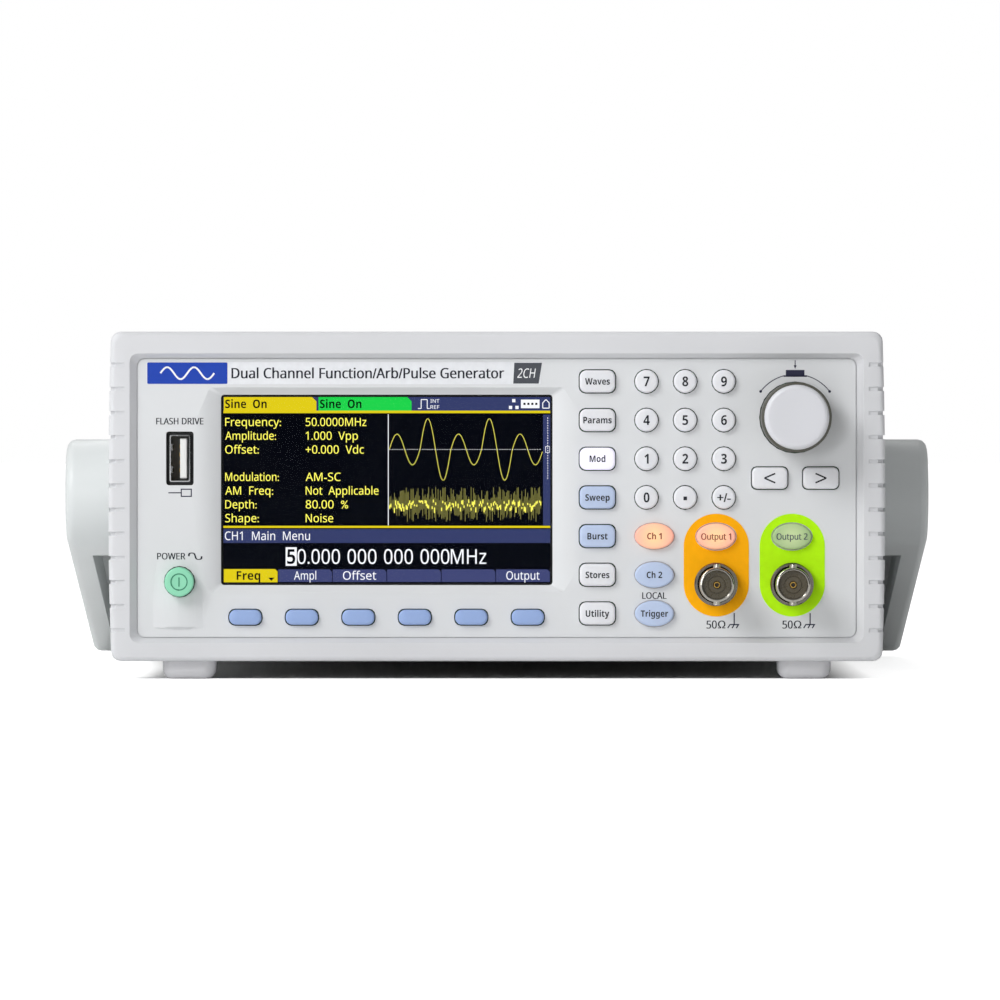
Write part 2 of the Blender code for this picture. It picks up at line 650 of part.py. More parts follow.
def keypad_board():
    """The board behind the panel, cut away where the display module stands."""
    left = -PANEL_WIDTH / 2 + KEYPAD_MARGIN
    right = -left
    low = PANEL_BOTTOM + KEYPAD_MARGIN / 2
    high = PANEL_TOP - KEYPAD_MARGIN
    notch_left = DISPLAY_X - DISPLAY_WIDTH / 2 - MODULE_LAP - GAP
    notch_right = DISPLAY_X + DISPLAY_WIDTH / 2 + MODULE_LAP + GAP
    notch_low = DISPLAY_Z - DISPLAY_HEIGHT / 2 - WINDOW_LAP - GAP
    outline = [(left, low), (right, low), (right, high), (notch_right, high)]
    outline += [(notch_right, notch_low), (notch_left, notch_low), (notch_left, high), (left, high)]
    holes = []
    for x in OUTPUT_X:
        hole = SOCKET_BUSH + 4 * GAP
        holes.append(moved(ellipse(hole, hole), x, OUTPUT_Z))
    seat = ENCODER_SIZE + 2 * GAP
    holes.append(moved(rounded_rect(seat, seat, HOLE_CORNER, 1), KNOB_X, KNOB_Z))
    usb_hole = rounded_rect(USB_BODY[0] + 2 * GAP, USB_BODY[1] + 2 * GAP, HOLE_CORNER, 1)
    holes.append(moved(usb_hole, USB_X, USB_Z))
    power_hole = POWER_DIAMETER + 2 * KEY_FLANGE + 4 * GAP
    holes.append(moved(ellipse(power_hole, power_hole), POWER_X, POWER_Z))
    plate("keypad_board", outline, holes, FRONT_Y + KEYPAD_DEPTH, BOARD, BOARD_GREEN)


def usb_socket():
    """Metal shell with its tongue, in front of a black body behind the panel."""
    front = PANEL_FRONT + GAP
    back = PANEL_BACK + GAP + USB_BODY_DEPTH
    middle, length = ends(PANEL_BACK + GAP, back)
    body = box("usb_socket", (USB_BODY[0], length, USB_BODY[1]), (USB_X, middle, USB_Z), BLACK_PLASTIC)
    middle, length = ends(front, PANEL_BACK + USB_FLOOR)
    shell = box("usb_shell", (USB_SHELL[0], length, USB_SHELL[1]), (USB_X, middle, USB_Z))
    combine(body, shell, "UNION")
    middle, length = ends(front - MM, back - USB_FLOOR)
    cavity = box("usb_cavity", (USB_CAVITY[0], length, USB_CAVITY[1]), (USB_X, middle, USB_Z))
    combine(body, cavity)
    middle, length = ends(front + USB_TONGUE_SETBACK, back - USB_FLOOR + MM)
    inset = USB_CAVITY[0] / 2 - USB_TONGUE[0] / 2 - USB_TONGUE_SIDE
    size = (USB_TONGUE[0], length, USB_TONGUE[1])
    tongue = box("usb_tongue", size, (USB_X + inset, middle, USB_Z))
    combine(body, tongue, "UNION")


def power_switch():
    radius = POWER_DIAMETER / 2
    flange = radius + KEY_FLANGE
    behind = -(PANEL_THICKNESS + GAP)
    rise = POWER_RISE
    edge = POWER_EDGE
    stem = POWER_STEM / 2
    tail = behind - KEY_FLANGE_THICKNESS
    profile = [
        (0.0, rise),
        (radius - edge, rise),
        (radius, rise - edge),
        (radius, behind),
        (flange, behind),
        (flange, tail),
        (stem, tail),
        (stem, -POWER_STEM_LENGTH),
        (0.0, -POWER_STEM_LENGTH),
    ]
    turned("power_button", profile, (POWER_X, PANEL_FRONT, POWER_Z), POWER_GREEN, steps=16)
    mouth = PANEL_FRONT - tail + POWER_TRAVEL + 3 * GAP
    size = (SWITCH_SIZE, SWITCH_DEPTH, SWITCH_SIZE)
    body = box("power_switch", size, (POWER_X, mouth + SWITCH_DEPTH / 2, POWER_Z), BLACK_PLASTIC)
    deep = POWER_STEM_LENGTH + PANEL_FRONT + POWER_TRAVEL + MM - mouth
    bore = rod("switch_bore", stem + GAP, 2 * deep, (POWER_X, mouth, POWER_Z), ALONG_Y)
    combine(body, bore)


def coaxial_profile(reach, tail):
    """Half section of a coaxial socket, heights from the panel's face."""
    floor = reach - SOCKET_HOLLOW
    post = SOCKET_INSULATOR / 2
    post_end = reach - SOCKET_POST_SETBACK
    bore = SOCKET_BORE / 2
    barrel = SOCKET_BARREL / 2
    return [
        (0.0, post_end),
        (post, post_end),
        (post, floor),
        (bore, floor),
        (bore, reach - SOCKET_EDGE),
        (bore + SOCKET_EDGE, reach),
        (barrel - SOCKET_EDGE, reach),
        (barrel, reach - SOCKET_EDGE),
        (barrel, SOCKET_FLANGE),
        (SOCKET_RING / 2, SOCKET_FLANGE),
        (SOCKET_RING / 2, GAP),
        (SOCKET_BUSH / 2, GAP),
        (SOCKET_BUSH / 2, -tail),
        (0.0, -tail),
    ]


def output_sockets():
    for number, x in enumerate(OUTPUT_X, start=1):
        name = f"output_socket_{number}"
        centre = (x, PANEL_FRONT, OUTPUT_Z)
        profile = coaxial_profile(SOCKET_REACH, SOCKET_TAIL)
        socket = turned(name, profile, centre, NICKEL, steps=20)
        # Two bayonet lugs, above and below.
        lug_y = PANEL_FRONT - SOCKET_REACH + SOCKET_LUG_SETBACK
        for hand in (-1, 1):
            root = SOCKET_BARREL / 2 - SOCKET_EDGE
            middle, length = ends(root, SOCKET_BARREL / 2 + SOCKET_LUG_RISE)
            centre = (x, lug_y, OUTPUT_Z + hand * middle)
            upright = Matrix.Identity(4)
            lug = rod(f"{name}_lug_{hand}", SOCKET_LUG / 2, length, centre, upright, steps=8)
            combine(socket, lug, "UNION")


def rotary_control():
    centre = (KNOB_X, PANEL_FRONT, KNOB_Z)
    radius = KNOB_DIAMETER / 2
    bore = SPINDLE_DIAMETER / 2 + GAP
    front = CONTROLS_REACH + PANEL_DEPTH
    bottom = -KNOB_SINK
    bore_end = front - KNOB_FRONT_WALL
    profile = [(0.0, front)]
    for step in range(4):
        turn = step / 3 * math.pi / 2
        across = radius - KNOB_ROUND * (1 - math.sin(turn))
        profile.append((across, front - KNOB_ROUND * (1 - math.cos(turn))))
    profile += [(radius, bottom), (bore, bottom), (bore, bore_end), (0.0, bore_end)]
    turned("knob", profile, centre, KNOB_PLASTIC)

    body_front = PANEL_THICKNESS + GAP
    spindle_end = body_front + ENCODER_DEPTH
    spindle = SPINDLE_DIAMETER / 2
    top = bore_end - GAP
    profile = [(0.0, top), (spindle, top), (spindle, -spindle_end), (0.0, -spindle_end)]
    turned("encoder_spindle", profile, centre, NICKEL, steps=20)

    middle = PANEL_FRONT + body_front + ENCODER_DEPTH / 2
    size = (ENCODER_SIZE, ENCODER_DEPTH, ENCODER_SIZE)
    body = box("encoder_body", size, (KNOB_X, middle, KNOB_Z), ZINCED_STEEL)
    hole = rod("encoder_bore", bore, 2 * ENCODER_DEPTH, (KNOB_X, middle, KNOB_Z), ALONG_Y, steps=20)
    combine(body, hole)

    start = spindle_end + GAP
    across = PLUNGER_DIAMETER / 2
    end = start + PLUNGER_THICKNESS
    profile = [(0.0, -start), (across, -start), (across, -end), (0.0, -end)]
    turned("encoder_plunger", profile, centre, BLACK_PLASTIC, steps=20)


def sheet(name, points, depth_span, finish):
    """Sheet metal bent along an open line of (x, z) points; its thickness grows inwards."""
    bm = bmesh.new()
    line = [bm.verts.new((x, depth_span[0], z)) for x, z in points]
    edges = [bm.edges.new(pair) for pair in zip(line, line[1:])]
    grown_parts = bmesh.ops.extrude_edge_only(bm, edges=edges)
    new_verts = [part for part in grown_parts["geom"] if isinstance(part, bmesh.types.BMVert)]
    length = depth_span[1] - depth_span[0]
    bmesh.ops.translate(bm, verts=new_verts, vec=(0.0, length, 0.0))
    mesh = bpy.data.meshes.new(name)
    bm.to_mesh(mesh)
    bm.free()
    piece = place(name, mesh, finish)
    solid = piece.modifiers.new("sheet thickness", "SOLIDIFY")
    solid.thickness = SHEET
    solid.offset = -1.0
    solid.use_even_offset = True
    return piece


def bend(centre, radius, first, last, steps=3):
    turns = [math.radians(first + (last - first) * step / steps) for step in range(steps + 1)]
    return [(centre[0] + radius * math.cos(t), centre[1] + radius * math.sin(t)) for t in turns]


def case_cover():
    """The folded cover: top and both sides, with vents and holes for the handle's pins."""
    half = COVER_WIDTH / 2
    corner = CASE_CORNER
    hem = COVER_BOTTOM + corner
    points = [(half, hem)]
    points += bend((half - corner, COVER_TOP - corner), corner, 0, 90)
    points += bend((corner - half, COVER_TOP - corner), corner, 90, 180)
    points.append((-half, hem))
    span = (FRONT_Y + COVER_INSET, REAR_Y - COVER_INSET)
    cover = sheet("case_cover", points, span, PAINTED_STEEL)
    pivot_y = FRONT_Y + HANDLE_DEPTH
    hole = rod("cover_pin_hole", PIN_RADIUS + GAP, 2 * CASE_WIDTH, (0.0, pivot_y, HANDLE_Z), ALONG_X)
    combine(cover, hole)
    for index in range(SIDE_VENT_COUNT):
        y = FRONT_Y + SIDE_VENT_FIRST + index * SIDE_VENT_PITCH
        size = (2 * CASE_WIDTH, SIDE_VENT_SIZE[0], SIDE_VENT_SIZE[1])
        combine(cover, box(f"cover_vent_{index}", size, (0.0, y, SIDE_VENT_Z)))


def chassis_tray():
    """The folded tray that closes the case from below, inside the cover's sides."""
    half = COVER_WIDTH / 2 - SHEET - GAP
    wall = COVER_BOTTOM + TRAY_WALL
    radius = TRAY_BEND
    points = [(-half, wall)]
    points += bend((radius - half, COVER_BOTTOM + radius), radius, 180, 270)
    points += bend((half - radius, COVER_BOTTOM + radius), radius, 270, 360)
    points.append((half, wall))
    span = (FRONT_Y + COVER_INSET, REAR_Y - COVER_INSET)
    sheet("chassis_tray", points, span, ZINCED_STEEL)


def rear_panel():
    edge = moved(rounded_rect(PANEL_WIDTH, PANEL_HEIGHT, PANEL_CORNER), 0.0, PANEL_MID)
    holes = []
    for x in REAR_SOCKET_X:
        hole = SOCKET_BUSH + 2 * GAP
        holes.append(moved(ellipse(hole, hole), x, REAR_SOCKET_Z))
    for x, z, width, height in (NETWORK_PORT, DEVICE_PORT):
        holes.append(moved(rounded_rect(width + 2 * GAP, height + 2 * GAP, HOLE_CORNER, 1), x, z))
    inlet = rounded_rect(INLET_BODY[0] + 2 * GAP, INLET_BODY[1] + 2 * GAP, GAP, 1)
    holes.append(moved(inlet, INLET_X, INLET_Z))
    for index in range(VENT_COUNT):
        vent = rounded_rect(*VENT_SIZE, VENT_CORNER, 1)
        holes.append(moved(vent, VENT_X + index * VENT_PITCH, VENT_Z))
    plate("rear_panel", edge, holes, REAR_FRONT - REAR_THICKNESS, REAR_THICKNESS, PAINTED_STEEL)


def main_board():
    """The main board with the rear sockets and ports that stand on its edge."""
    x, width = ends(*MAIN_BOARD_X)
    y, length = ends(FRONT_Y + MAIN_BOARD_Y[0], FRONT_Y + MAIN_BOARD_Y[1])
    board_top = MAIN_BOARD_Z + BOARD
    board = box("main_board", (width, length, BOARD), (x, y, MAIN_BOARD_Z + BOARD / 2), BOARD_GREEN)
    back = FRONT_Y + MAIN_BOARD_Y[1]
    sunk = BOARD / 2
    for port_x, port_z, wide, tall in (NETWORK_PORT, DEVICE_PORT):
        y, length = ends(back - BOARD_SEAT, REAR_FRONT + PORT_OUT)
        z, height = ends(port_z - tall / 2, port_z + tall / 2)
        port = box(f"port_{wide:.4f}", (wide, length, height), (port_x, y, z))
        combine(board, port, "UNION")
    for index, socket_x in enumerate(REAR_SOCKET_X):
        name = f"rear_socket_{index}"
        centre = (socket_x, REAR_FRONT, REAR_SOCKET_Z)
        profile = coaxial_profile(REAR_SOCKET_REACH, REAR_SOCKET_TAIL)
        socket = turned(name, profile, centre, NICKEL, backwards=True, steps=12)
        y, length = ends(back - BOARD_SEAT, REAR_FRONT - REAR_BODY_GAP)
        z, height = ends(board_top - sunk, REAR_SOCKET_Z + REAR_BODY_RISE)
        housing = box(f"{name}_body", (REAR_BODY_WIDTH, length, height), (socket_x, y, z))
        combine(board, housing, "UNION")
        combine(board, socket, "UNION")
    centre = (HEAT_SINK_X, FRONT_Y + HEAT_SINK_Y, board_top + HEAT_SINK_SIZE[2] / 2 - sunk)
    heat_sink = box("heat_sink", HEAT_SINK_SIZE, centre)
    combine(board, heat_sink, "UNION")


def power_supply():
    centre = (SUPPLY_CENTRE[0], FRONT_Y + SUPPLY_CENTRE[1], SUPPLY_CENTRE[2])
    bevelled(box("power_supply", SUPPLY_BOX, centre, ZINCED_STEEL), MM)


def mains_inlet():
    """Appliance inlet with its flange on the rear panel and three flat pins in its hollow."""
    flange_front = REAR_FRONT + GAP
    thick = INLET_FLANGE_THICKNESS
    y, length = ends(flange_front, flange_front + thick)
    size = (INLET_FLANGE[0], length, INLET_FLANGE[1])
    inlet = box("mains_inlet", size, (INLET_X, y, INLET_Z), BLACK_PLASTIC)
    bevelled(inlet, INLET_FLANGE_EDGE)
    y, length = ends(flange_front + thick - INLET_BODY_DEPTH, flange_front + MM)
    body = box("inlet_body", (INLET_BODY[0], length, INLET_BODY[1]), (INLET_X, y, INLET_Z))
    combine(inlet, body, "UNION")
    floor = flange_front + thick - INLET_CAVITY_DEPTH
    y, length = ends(floor, flange_front + thick + MM)
    cavity = box("inlet_cavity", (INLET_CAVITY[0], length, INLET_CAVITY[1]), (INLET_X, y, INLET_Z))
    combine(inlet, cavity)
    for index in (-1, 0, 1):
        y, length = ends(floor - MM, flange_front + thick - INLET_PIN_INSET)
        z = INLET_Z + (INLET_PIN_STEP if index == 0 else -INLET_PIN_STEP)
        x = INLET_X + index * INLET_PIN_PITCH
        pin = box(f"inlet_pin_{index}", (INLET_PIN[0], length, INLET_PIN[1]), (x, y, z))
        combine(inlet, pin, "UNION")


def arm_outline(inset, steps=12):
    """Side view of an arm, in line with +Y: a large hub circle and a small end circle, wrapped."""
    lean = math.acos((HUB_RADIUS - GRIP_RADIUS) / ARM_LENGTH)
    hub = HUB_RADIUS - inset
    end = GRIP_RADIUS - inset
    points = []
    for step in range(steps + 1):
        turn = -lean + 2 * lean * step / steps
        points.append((ARM_LENGTH + end * math.cos(turn), end * math.sin(turn)))
    for step in range(steps + 1):
        turn = lean + (2 * math.pi - 2 * lean) * step / steps
        points.append((hub * math.cos(turn), hub * math.sin(turn)))
    return points


def arm_mesh(name, hand):
    """One arm: flat inside, with a rounded edge outside."""
    sections = [(ARM_INNER, ARM_EDGE), (ARM_INNER + ARM_EDGE, 0.0)]
    for step in range(4):
        turn = step / 3 * math.pi / 2
        across = ARM_OUTER - ARM_ROUND * (1 - math.sin(turn))
        sections.append((across, ARM_ROUND * (1 - math.cos(turn))))
    rings = [[(hand * x, y, z) for y, z in arm_outline(inset)] for x, inset in sections]
    return loft(name, rings)


def handle():
    """Arms and grip hang from the handle's axis, which is an empty between the two hubs."""
    axis = bpy.data.objects.new("handle_axis", None)
    axis.location = (0.0, FRONT_Y + HANDLE_DEPTH, HANDLE_Z)
    axis.rotation_euler = (-ARM_DROP, 0.0, 0.0)
    PARTS.objects.link(axis)
    for side, hand in (("left", -1), ("right", 1)):
        name = f"handle_arm_{side}"
        arm = place(name, arm_mesh(name, hand), HANDLE_PLASTIC)
        arm.parent = axis
        boss_end = COVER_WIDTH / 2 + GAP
        x, length = ends(boss_end, ARM_INNER + 2 * MM)
        boss = rod(f"{name}_boss", BOSS_RADIUS, length, (hand * x, 0.0, 0.0), ALONG_X, steps=24)
        boss.parent = axis
        x, length = ends(PIN_END, boss_end + MM)
        pin = rod(f"{name}_pin", PIN_RADIUS, length, (hand * x, 0.0, 0.0), ALONG_X)
        pin.parent = axis
        combine(boss, pin, "UNION")
        combine(arm, boss, "UNION")
        x, width = ends(ARM_INNER + ARM_INNER_WALL, ARM_OUTER - ARM_OUTER_WALL)
        y, length = ends(BOSS_RADIUS, ARM_LENGTH - GRIP_RADIUS)
        z, depth = ends(-ARM_GROOVE_FLOOR - HUB_RADIUS, -ARM_GROOVE_FLOOR)
        groove = box(f"{name}_groove", (width, length, depth), (hand * x, y, z))
        groove.parent = axis
        combine(arm, groove)
    reach = 2 * (ARM_INNER - GAP)
    centre = (0.0, ARM_LENGTH, 0.0)
    grip = rod("handle_grip", GRIP_RADIUS, reach, centre, ALONG_X, HANDLE_PLASTIC, steps=24)
    grip.parent = axis


def feet():
    """Each foot is a pad under a bezel, with a step at its inner end that reaches up to the tray."""
    pad_top = FOOT_HEIGHT - GAP
    step_top = COVER_BOTTOM - GAP
    width, length = FOOT_SIZE
    for end, start, inwards in (("front", FRONT_Y, 1), ("rear", REAR_Y, -1)):
        outer = start + inwards * FOOT_SETBACK
        inner = outer + inwards * length
        for side, hand in (("left", -1), ("right", 1)):
            x = hand * FOOT_X
            centre = (x, (outer + inner) / 2, pad_top / 2)
            foot = box(f"foot_{end}_{side}", (width, length, pad_top), centre, FOOT_RUBBER)
            bevelled(foot, FOOT_ROUND, 2)
            near = start + inwards * (BEZEL_DEPTH + GAP)
            y, reach = ends(near, inner - inwards * FOOT_ROUND)
            z, height = ends(pad_top / 2, step_top)
            size = (width - 2 * FOOT_ROUND, abs(reach), height)
            combine(foot, box(f"foot_step_{end}_{side}", size, (x, y, z)), "UNION")


def build():
    keys = key_layout()
    bezel("front_bezel", FRONT_Y, 1)
    bezel("rear_bezel", REAR_Y, -1)
    front_panel(keys)
    for layout in keys:
        key(*layout)
    display()
    keypad_board()
    usb_socket()
    power_switch()
    output_sockets()
    rotary_control()
    case_cover()
    chassis_tray()
    rear_panel()
    main_board()
    power_supply()
    mains_inlet()
    handle()
    feet()


build()
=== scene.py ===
# %% [markdown]
# # A bench function generator
# The measured model of the instrument comes in first, as the frame. It holds every solid at its
# true size and place. Everything below only adds finer shapes and finishes to it.

# %% Load the frame
import math
import random

import bmesh
import bpy
from mathutils import Matrix, Vector
from mathutils.bvhtree import BVHTree


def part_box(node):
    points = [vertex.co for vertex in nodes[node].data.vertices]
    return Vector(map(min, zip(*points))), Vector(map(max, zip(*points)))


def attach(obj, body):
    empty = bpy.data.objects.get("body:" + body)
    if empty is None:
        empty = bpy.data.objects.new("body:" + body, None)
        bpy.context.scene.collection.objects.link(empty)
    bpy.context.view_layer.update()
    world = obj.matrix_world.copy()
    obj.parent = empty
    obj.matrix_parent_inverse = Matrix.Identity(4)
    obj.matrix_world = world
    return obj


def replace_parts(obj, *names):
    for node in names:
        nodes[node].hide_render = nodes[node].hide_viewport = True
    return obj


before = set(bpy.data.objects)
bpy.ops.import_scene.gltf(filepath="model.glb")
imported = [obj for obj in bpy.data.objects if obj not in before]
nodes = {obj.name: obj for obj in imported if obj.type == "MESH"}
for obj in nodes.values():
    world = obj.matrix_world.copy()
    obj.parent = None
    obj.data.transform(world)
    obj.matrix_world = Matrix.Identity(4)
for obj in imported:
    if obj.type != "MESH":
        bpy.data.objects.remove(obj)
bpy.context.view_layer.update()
MM = 0.001

# %% [markdown]
# Depths on the front are counted from the bezel's face, which is the plane nearest to the user
# apart from the controls. The panel's face lies a little behind it, inside the sloped reveal.

# %% Planes that the rest is built on
BEZEL_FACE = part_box("front_bezel")[0].y
PANEL_FACE = BEZEL_FACE + 2.0 * MM
REAR_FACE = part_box("rear_panel")[1].y
PRINT = 0.03 * MM
print("panel face at", round(PANEL_FACE, 5), "rear panel face at", round(REAR_FACE, 5))


def middle(node):
    """Centre of a solid's box."""
    low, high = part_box(node)
    return (low + high) / 2


# %% [markdown]
# ## Colours and nodes
# Colours are written as sRGB hex values, the way a paint chart gives them, and Blender's shaders
# want linear light, so one function converts them. One more function adds a node, sets its inputs
# and links whatever is passed as a socket.

# %% Colour and node helpers
def linear(code, alpha=1.0):
    values = [int(code[i : i + 2], 16) / 255 for i in (0, 2, 4)]
    return (*[v / 12.92 if v <= 0.04045 else ((v + 0.055) / 1.055) ** 2.4 for v in values], alpha)


def add(tree, kind, inputs=None, **settings):
    node = tree.nodes.new("ShaderNode" + kind)
    for name, value in settings.items():
        setattr(node, name, value)
    for name, value in (inputs or {}).items():
        socket = node.inputs[name]
        if isinstance(value, bpy.types.NodeSocket):
            tree.links.new(value, socket)
        else:
            socket.default_value = value
    return node


def blank(name):
    """A new material with an empty tree and a Principled shader on its output."""
    made = bpy.data.materials.new(name)
    made.use_nodes = True
    tree = made.node_tree
    tree.nodes.clear()
    shader = add(tree, "BsdfPrincipled")
    add(tree, "OutputMaterial", {"Surface": shader.outputs["BSDF"]})
    return made, tree, shader


def per_mm(size):
    """Noise scale, in cells per metre, for a pattern whose cells are this many millimetres."""
    return 1.0 / (size * MM)


# %% [markdown]
# ## Camera
# A long lens from about two and a half metres keeps the sides of the case out of sight and the
# front square, as in a catalogue picture. The camera stands a little above the middle of the panel.

# %% Camera
FRAME_WIDTH = 279.0 * MM
CAMERA_DISTANCE = 2.5
CAMERA_HEIGHT = 65.0 * MM
AIM = Vector((0.9 * MM, BEZEL_FACE, 50.0 * MM))
camera_data = bpy.data.cameras.new("camera")
camera_data.sensor_width = 36.0
camera_data.lens = 36.0 * CAMERA_DISTANCE / FRAME_WIDTH
camera_data.clip_end = 100.0
camera = bpy.data.objects.new("camera", camera_data)
camera.location = (AIM.x, BEZEL_FACE - CAMERA_DISTANCE, CAMERA_HEIGHT)
camera.rotation_euler = (AIM - camera.location).to_track_quat("-Z", "Y").to_euler()
bpy.context.scene.collection.objects.link(camera)
bpy.context.scene.camera = camera
bpy.context.scene.view_settings.view_transform = "Standard"
print("lens", round(camera_data.lens, 1), "mm")

# %% [markdown]
# ## Light and floor
# A white studio: a large soft light from the upper left gives each key a small shadow down to its
# right, and a weaker one from the front reaches the feet. The room around is bright on the left
# and above, and dim on the right and in front, where nothing white stands. Polished metal and
# clear plastic need that: they show the room, so an even room would make them look flat.


# %% Lights
def soft_light(name, place, aim, size, power):
    data = bpy.data.lights.new(name, "AREA")
    data.shape = "DISK"
    data.size = size
    data.energy = power
    lamp = bpy.data.objects.new(name, data)
    lamp.location = place
    lamp.rotation_euler = (Vector(aim) - lamp.location).to_track_quat("-Z", "Y").to_euler()
    bpy.context.scene.collection.objects.link(lamp)
    return lamp


soft_light("key_light", (-1.5, -1.5, 1.5), (0, 0, 0.05), 1.3, 36)
soft_light("front_light", (-0.9, -2.9, 0.3), (0, 0, 0.05), 0.7, 14)
soft_light("back_light", (-0.4, 1.8, 1.9), (0, 0, 0.05), 1.4, 10)

world = bpy.data.worlds.new("studio")
world.use_nodes = True
sky = world.node_tree
sky.nodes.clear()
ray = add(sky, "LightPath").outputs["Is Camera Ray"]
look = add(sky, "TexCoord").outputs["Generated"]
to_light = add(sky, "VectorMath", {0: look, 1: (-0.9, 0.1, 0.4)}, operation="DOT_PRODUCT")
side = {"Value": to_light.outputs["Value"], "From Min": -1.0, "To Min": 0.22, "To Max": 0.56}
side = add(sky, "MapRange", side).outputs["Result"]
to_front = add(sky, "VectorMath", {0: look, 1: (0.1, -1.0, -0.05)}, operation="DOT_PRODUCT")
dim = {"Value": to_front.outputs["Value"], "From Min": 0.6, "From Max": 0.95, "To Min": 1.0, "To Max": 0.25}
dim = add(sky, "MapRange", dim).outputs["Result"]
room = add(sky, "Math", {0: side, 1: dim}, operation="MULTIPLY").outputs["Value"]
seen = add(sky, "Mix", {"Factor": ray, "A": room, "B": 1.0}).outputs["Result"]
glow = add(sky, "Background", {"Color": linear("ffffff"), "Strength": seen})
add(sky, "OutputWorld", {"Surface": glow.outputs["Background"]})
bpy.context.scene.world = world


# %% Floor
# Footprint that the floor's painted glow leaves out, so that the real shade under the case still shows.
SHADE_HALF_WIDTH = 92.0 * MM
SHADE_HALF_DEPTH = 120.0 * MM
SHADE_FADE = 14.0 * MM


def floor_paper_painted_glow():
    """Matt white paper with painted light: a glow seen only by the camera whitens it everywhere outside the
    case's footprint, painting over the shadows cast around the case.
    """
    made, tree, shader = blank("white background paper with painted glow")
    where = add(tree, "TexCoord").outputs["Object"]
    fibre = add(tree, "TexNoise", {"Vector": where, "Scale": per_mm(3.0), "Detail": 3.0}).outputs["Fac"]
    tone = add(tree, "ValToRGB", {"Fac": fibre})
    tone.color_ramp.elements[0].color = linear("fafafa")
    tone.color_ramp.elements[1].color = linear("ffffff")
    distance = add(tree, "VectorMath", {0: where}, operation="ABSOLUTE").outputs[0]
    apart = add(tree, "SeparateXYZ", {0: distance})
    # Painted glow mask: none under the case, rising to full over the fade beyond its footprint.
    painted_glow_masks = []
    for axis, edge in (("X", SHADE_HALF_WIDTH), ("Y", SHADE_HALF_DEPTH)):
        away = {"Value": apart.outputs[axis], "From Min": edge, "From Max": edge + SHADE_FADE}
        painted_glow_masks.append(add(tree, "MapRange", away).outputs["Result"])
    shine = add(tree, "Math", {0: painted_glow_masks[0], 1: painted_glow_masks[1]}, operation="MAXIMUM").outputs["Value"]
    # The glow is painted light for the picture's ground only; it lights nothing, so it isn't cast back up at
    # the object.
    camera_ray = add(tree, "LightPath").outputs["Is Camera Ray"]
    seen = add(tree, "Math", {0: shine, 1: camera_ray}, operation="MULTIPLY").outputs["Value"]
    glow = add(tree, "Math", {0: seen, 1: 0.75}, operation="MULTIPLY").outputs["Value"]
    tree.links.new(glow, shader.inputs["Emission Strength"])
    tree.links.new(tone.outputs["Color"], shader.inputs["Base Color"])
    shader.inputs["Emission Color"].default_value = linear("ffffff")
    shader.inputs["Roughness"].default_value = 0.9
    return made


FLOOR_SIDE = 60.0
bm = bmesh.new()
bmesh.ops.create_grid(bm, x_segments=4, y_segments=4, size=FLOOR_SIDE / 2)
floor_mesh = bpy.data.meshes.new("floor")
bm.to_mesh(floor_mesh)
bm.free()
floor_mesh.materials.append(floor_paper_painted_glow())
floor = bpy.data.objects.new("floor", floor_mesh)
bpy.context.scene.collection.objects.link(floor)

# %% [markdown]
# ## Moulded plastics
# The bezels, the panel and the handle are ABS, moulded in steel tools that were spark-eroded to a
# fine matt grain. The grain breaks up highlights, so the plastic shows no sharp reflections. Its
# real pitch is near 0.15 mm, and it is drawn a little coarser here so that it can be seen.


# %% Plastic finishes
def moulded(name, code, grain=0.35, relief=0.012, roughness=0.5, drift=0.03, ior=1.53):
    """Moulded plastic: an even colour that drifts a little, under a fine pebbled grain."""
    made, tree, shader = blank(name)
    where = add(tree, "TexCoord").outputs["Object"]
    cloud = add(tree, "TexNoise", {"Vector": where, "Scale": per_mm(60.0), "Detail": 2.0})
    tone = add(tree, "HueSaturation", {"Color": linear(code)})
    spread = {"Value": cloud.outputs["Fac"], "From Min": 0.3, "From Max": 0.7}
    spread.update({"To Min": 1.0 - drift, "To Max": 1.0 + drift})
    tree.links.new(add(tree, "MapRange", spread).outputs["Result"], tone.inputs["Value"])
    pebble = add(tree, "TexNoise", {"Vector": where, "Scale": per_mm(grain), "Detail": 2.0})
    bump = add(tree, "Bump", {"Height": pebble.outputs["Fac"], "Strength": 0.5, "Distance": relief * MM})
    sheen = {"Value": pebble.outputs["Fac"], "From Min": 0.3, "From Max": 0.7}
    sheen.update({"To Min": roughness - 0.05, "To Max": roughness + 0.05})
    tree.links.new(tone.outputs["Color"], shader.inputs["Base Color"])
    tree.links.new(add(tree, "MapRange", sheen).outputs["Result"], shader.inputs["Roughness"])
    tree.links.new(bump.outputs["Normal"], shader.inputs["Normal"])
    shader.inputs["IOR"].default_value = ior
    return made


CASE_ABS = moulded("light grey ABS, fine grain", "d4d5d8")
PANEL_ABS = moulded("cool grey ABS, fine grain", "d8dadc", grain=0.3)
HANDLE_ABS = moulded("pale grey ABS, satin", "d4d8d8", grain=0.5, roughness=0.42)
KNOB_ABS = moulded("white ABS, smooth", "d3d4d9", grain=0.6, relief=0.004, roughness=0.38)
KNOB_RUBBER = moulded("dark olive rubber", "4b4b42", grain=0.5, relief=0.01, roughness=0.45, ior=1.52)
BLACK_NYLON = moulded("black glass-filled nylon", "17181a", grain=0.4, relief=0.02, roughness=0.55)
FOOT_RUBBER = moulded("grey rubber", "cccccf", grain=0.5, relief=0.03, roughness=0.8, ior=1.52)

# %% [markdown]
# ## Key rubber
# The keys are caps of one silicone rubber mat. Silicone passes some light, so its edges look soft
# and pale and its top a little milky; that is subsurface scattering. Keys with a lamp behind them
# glow from their middle outwards, so their emission follows the distance from the cap's centre.


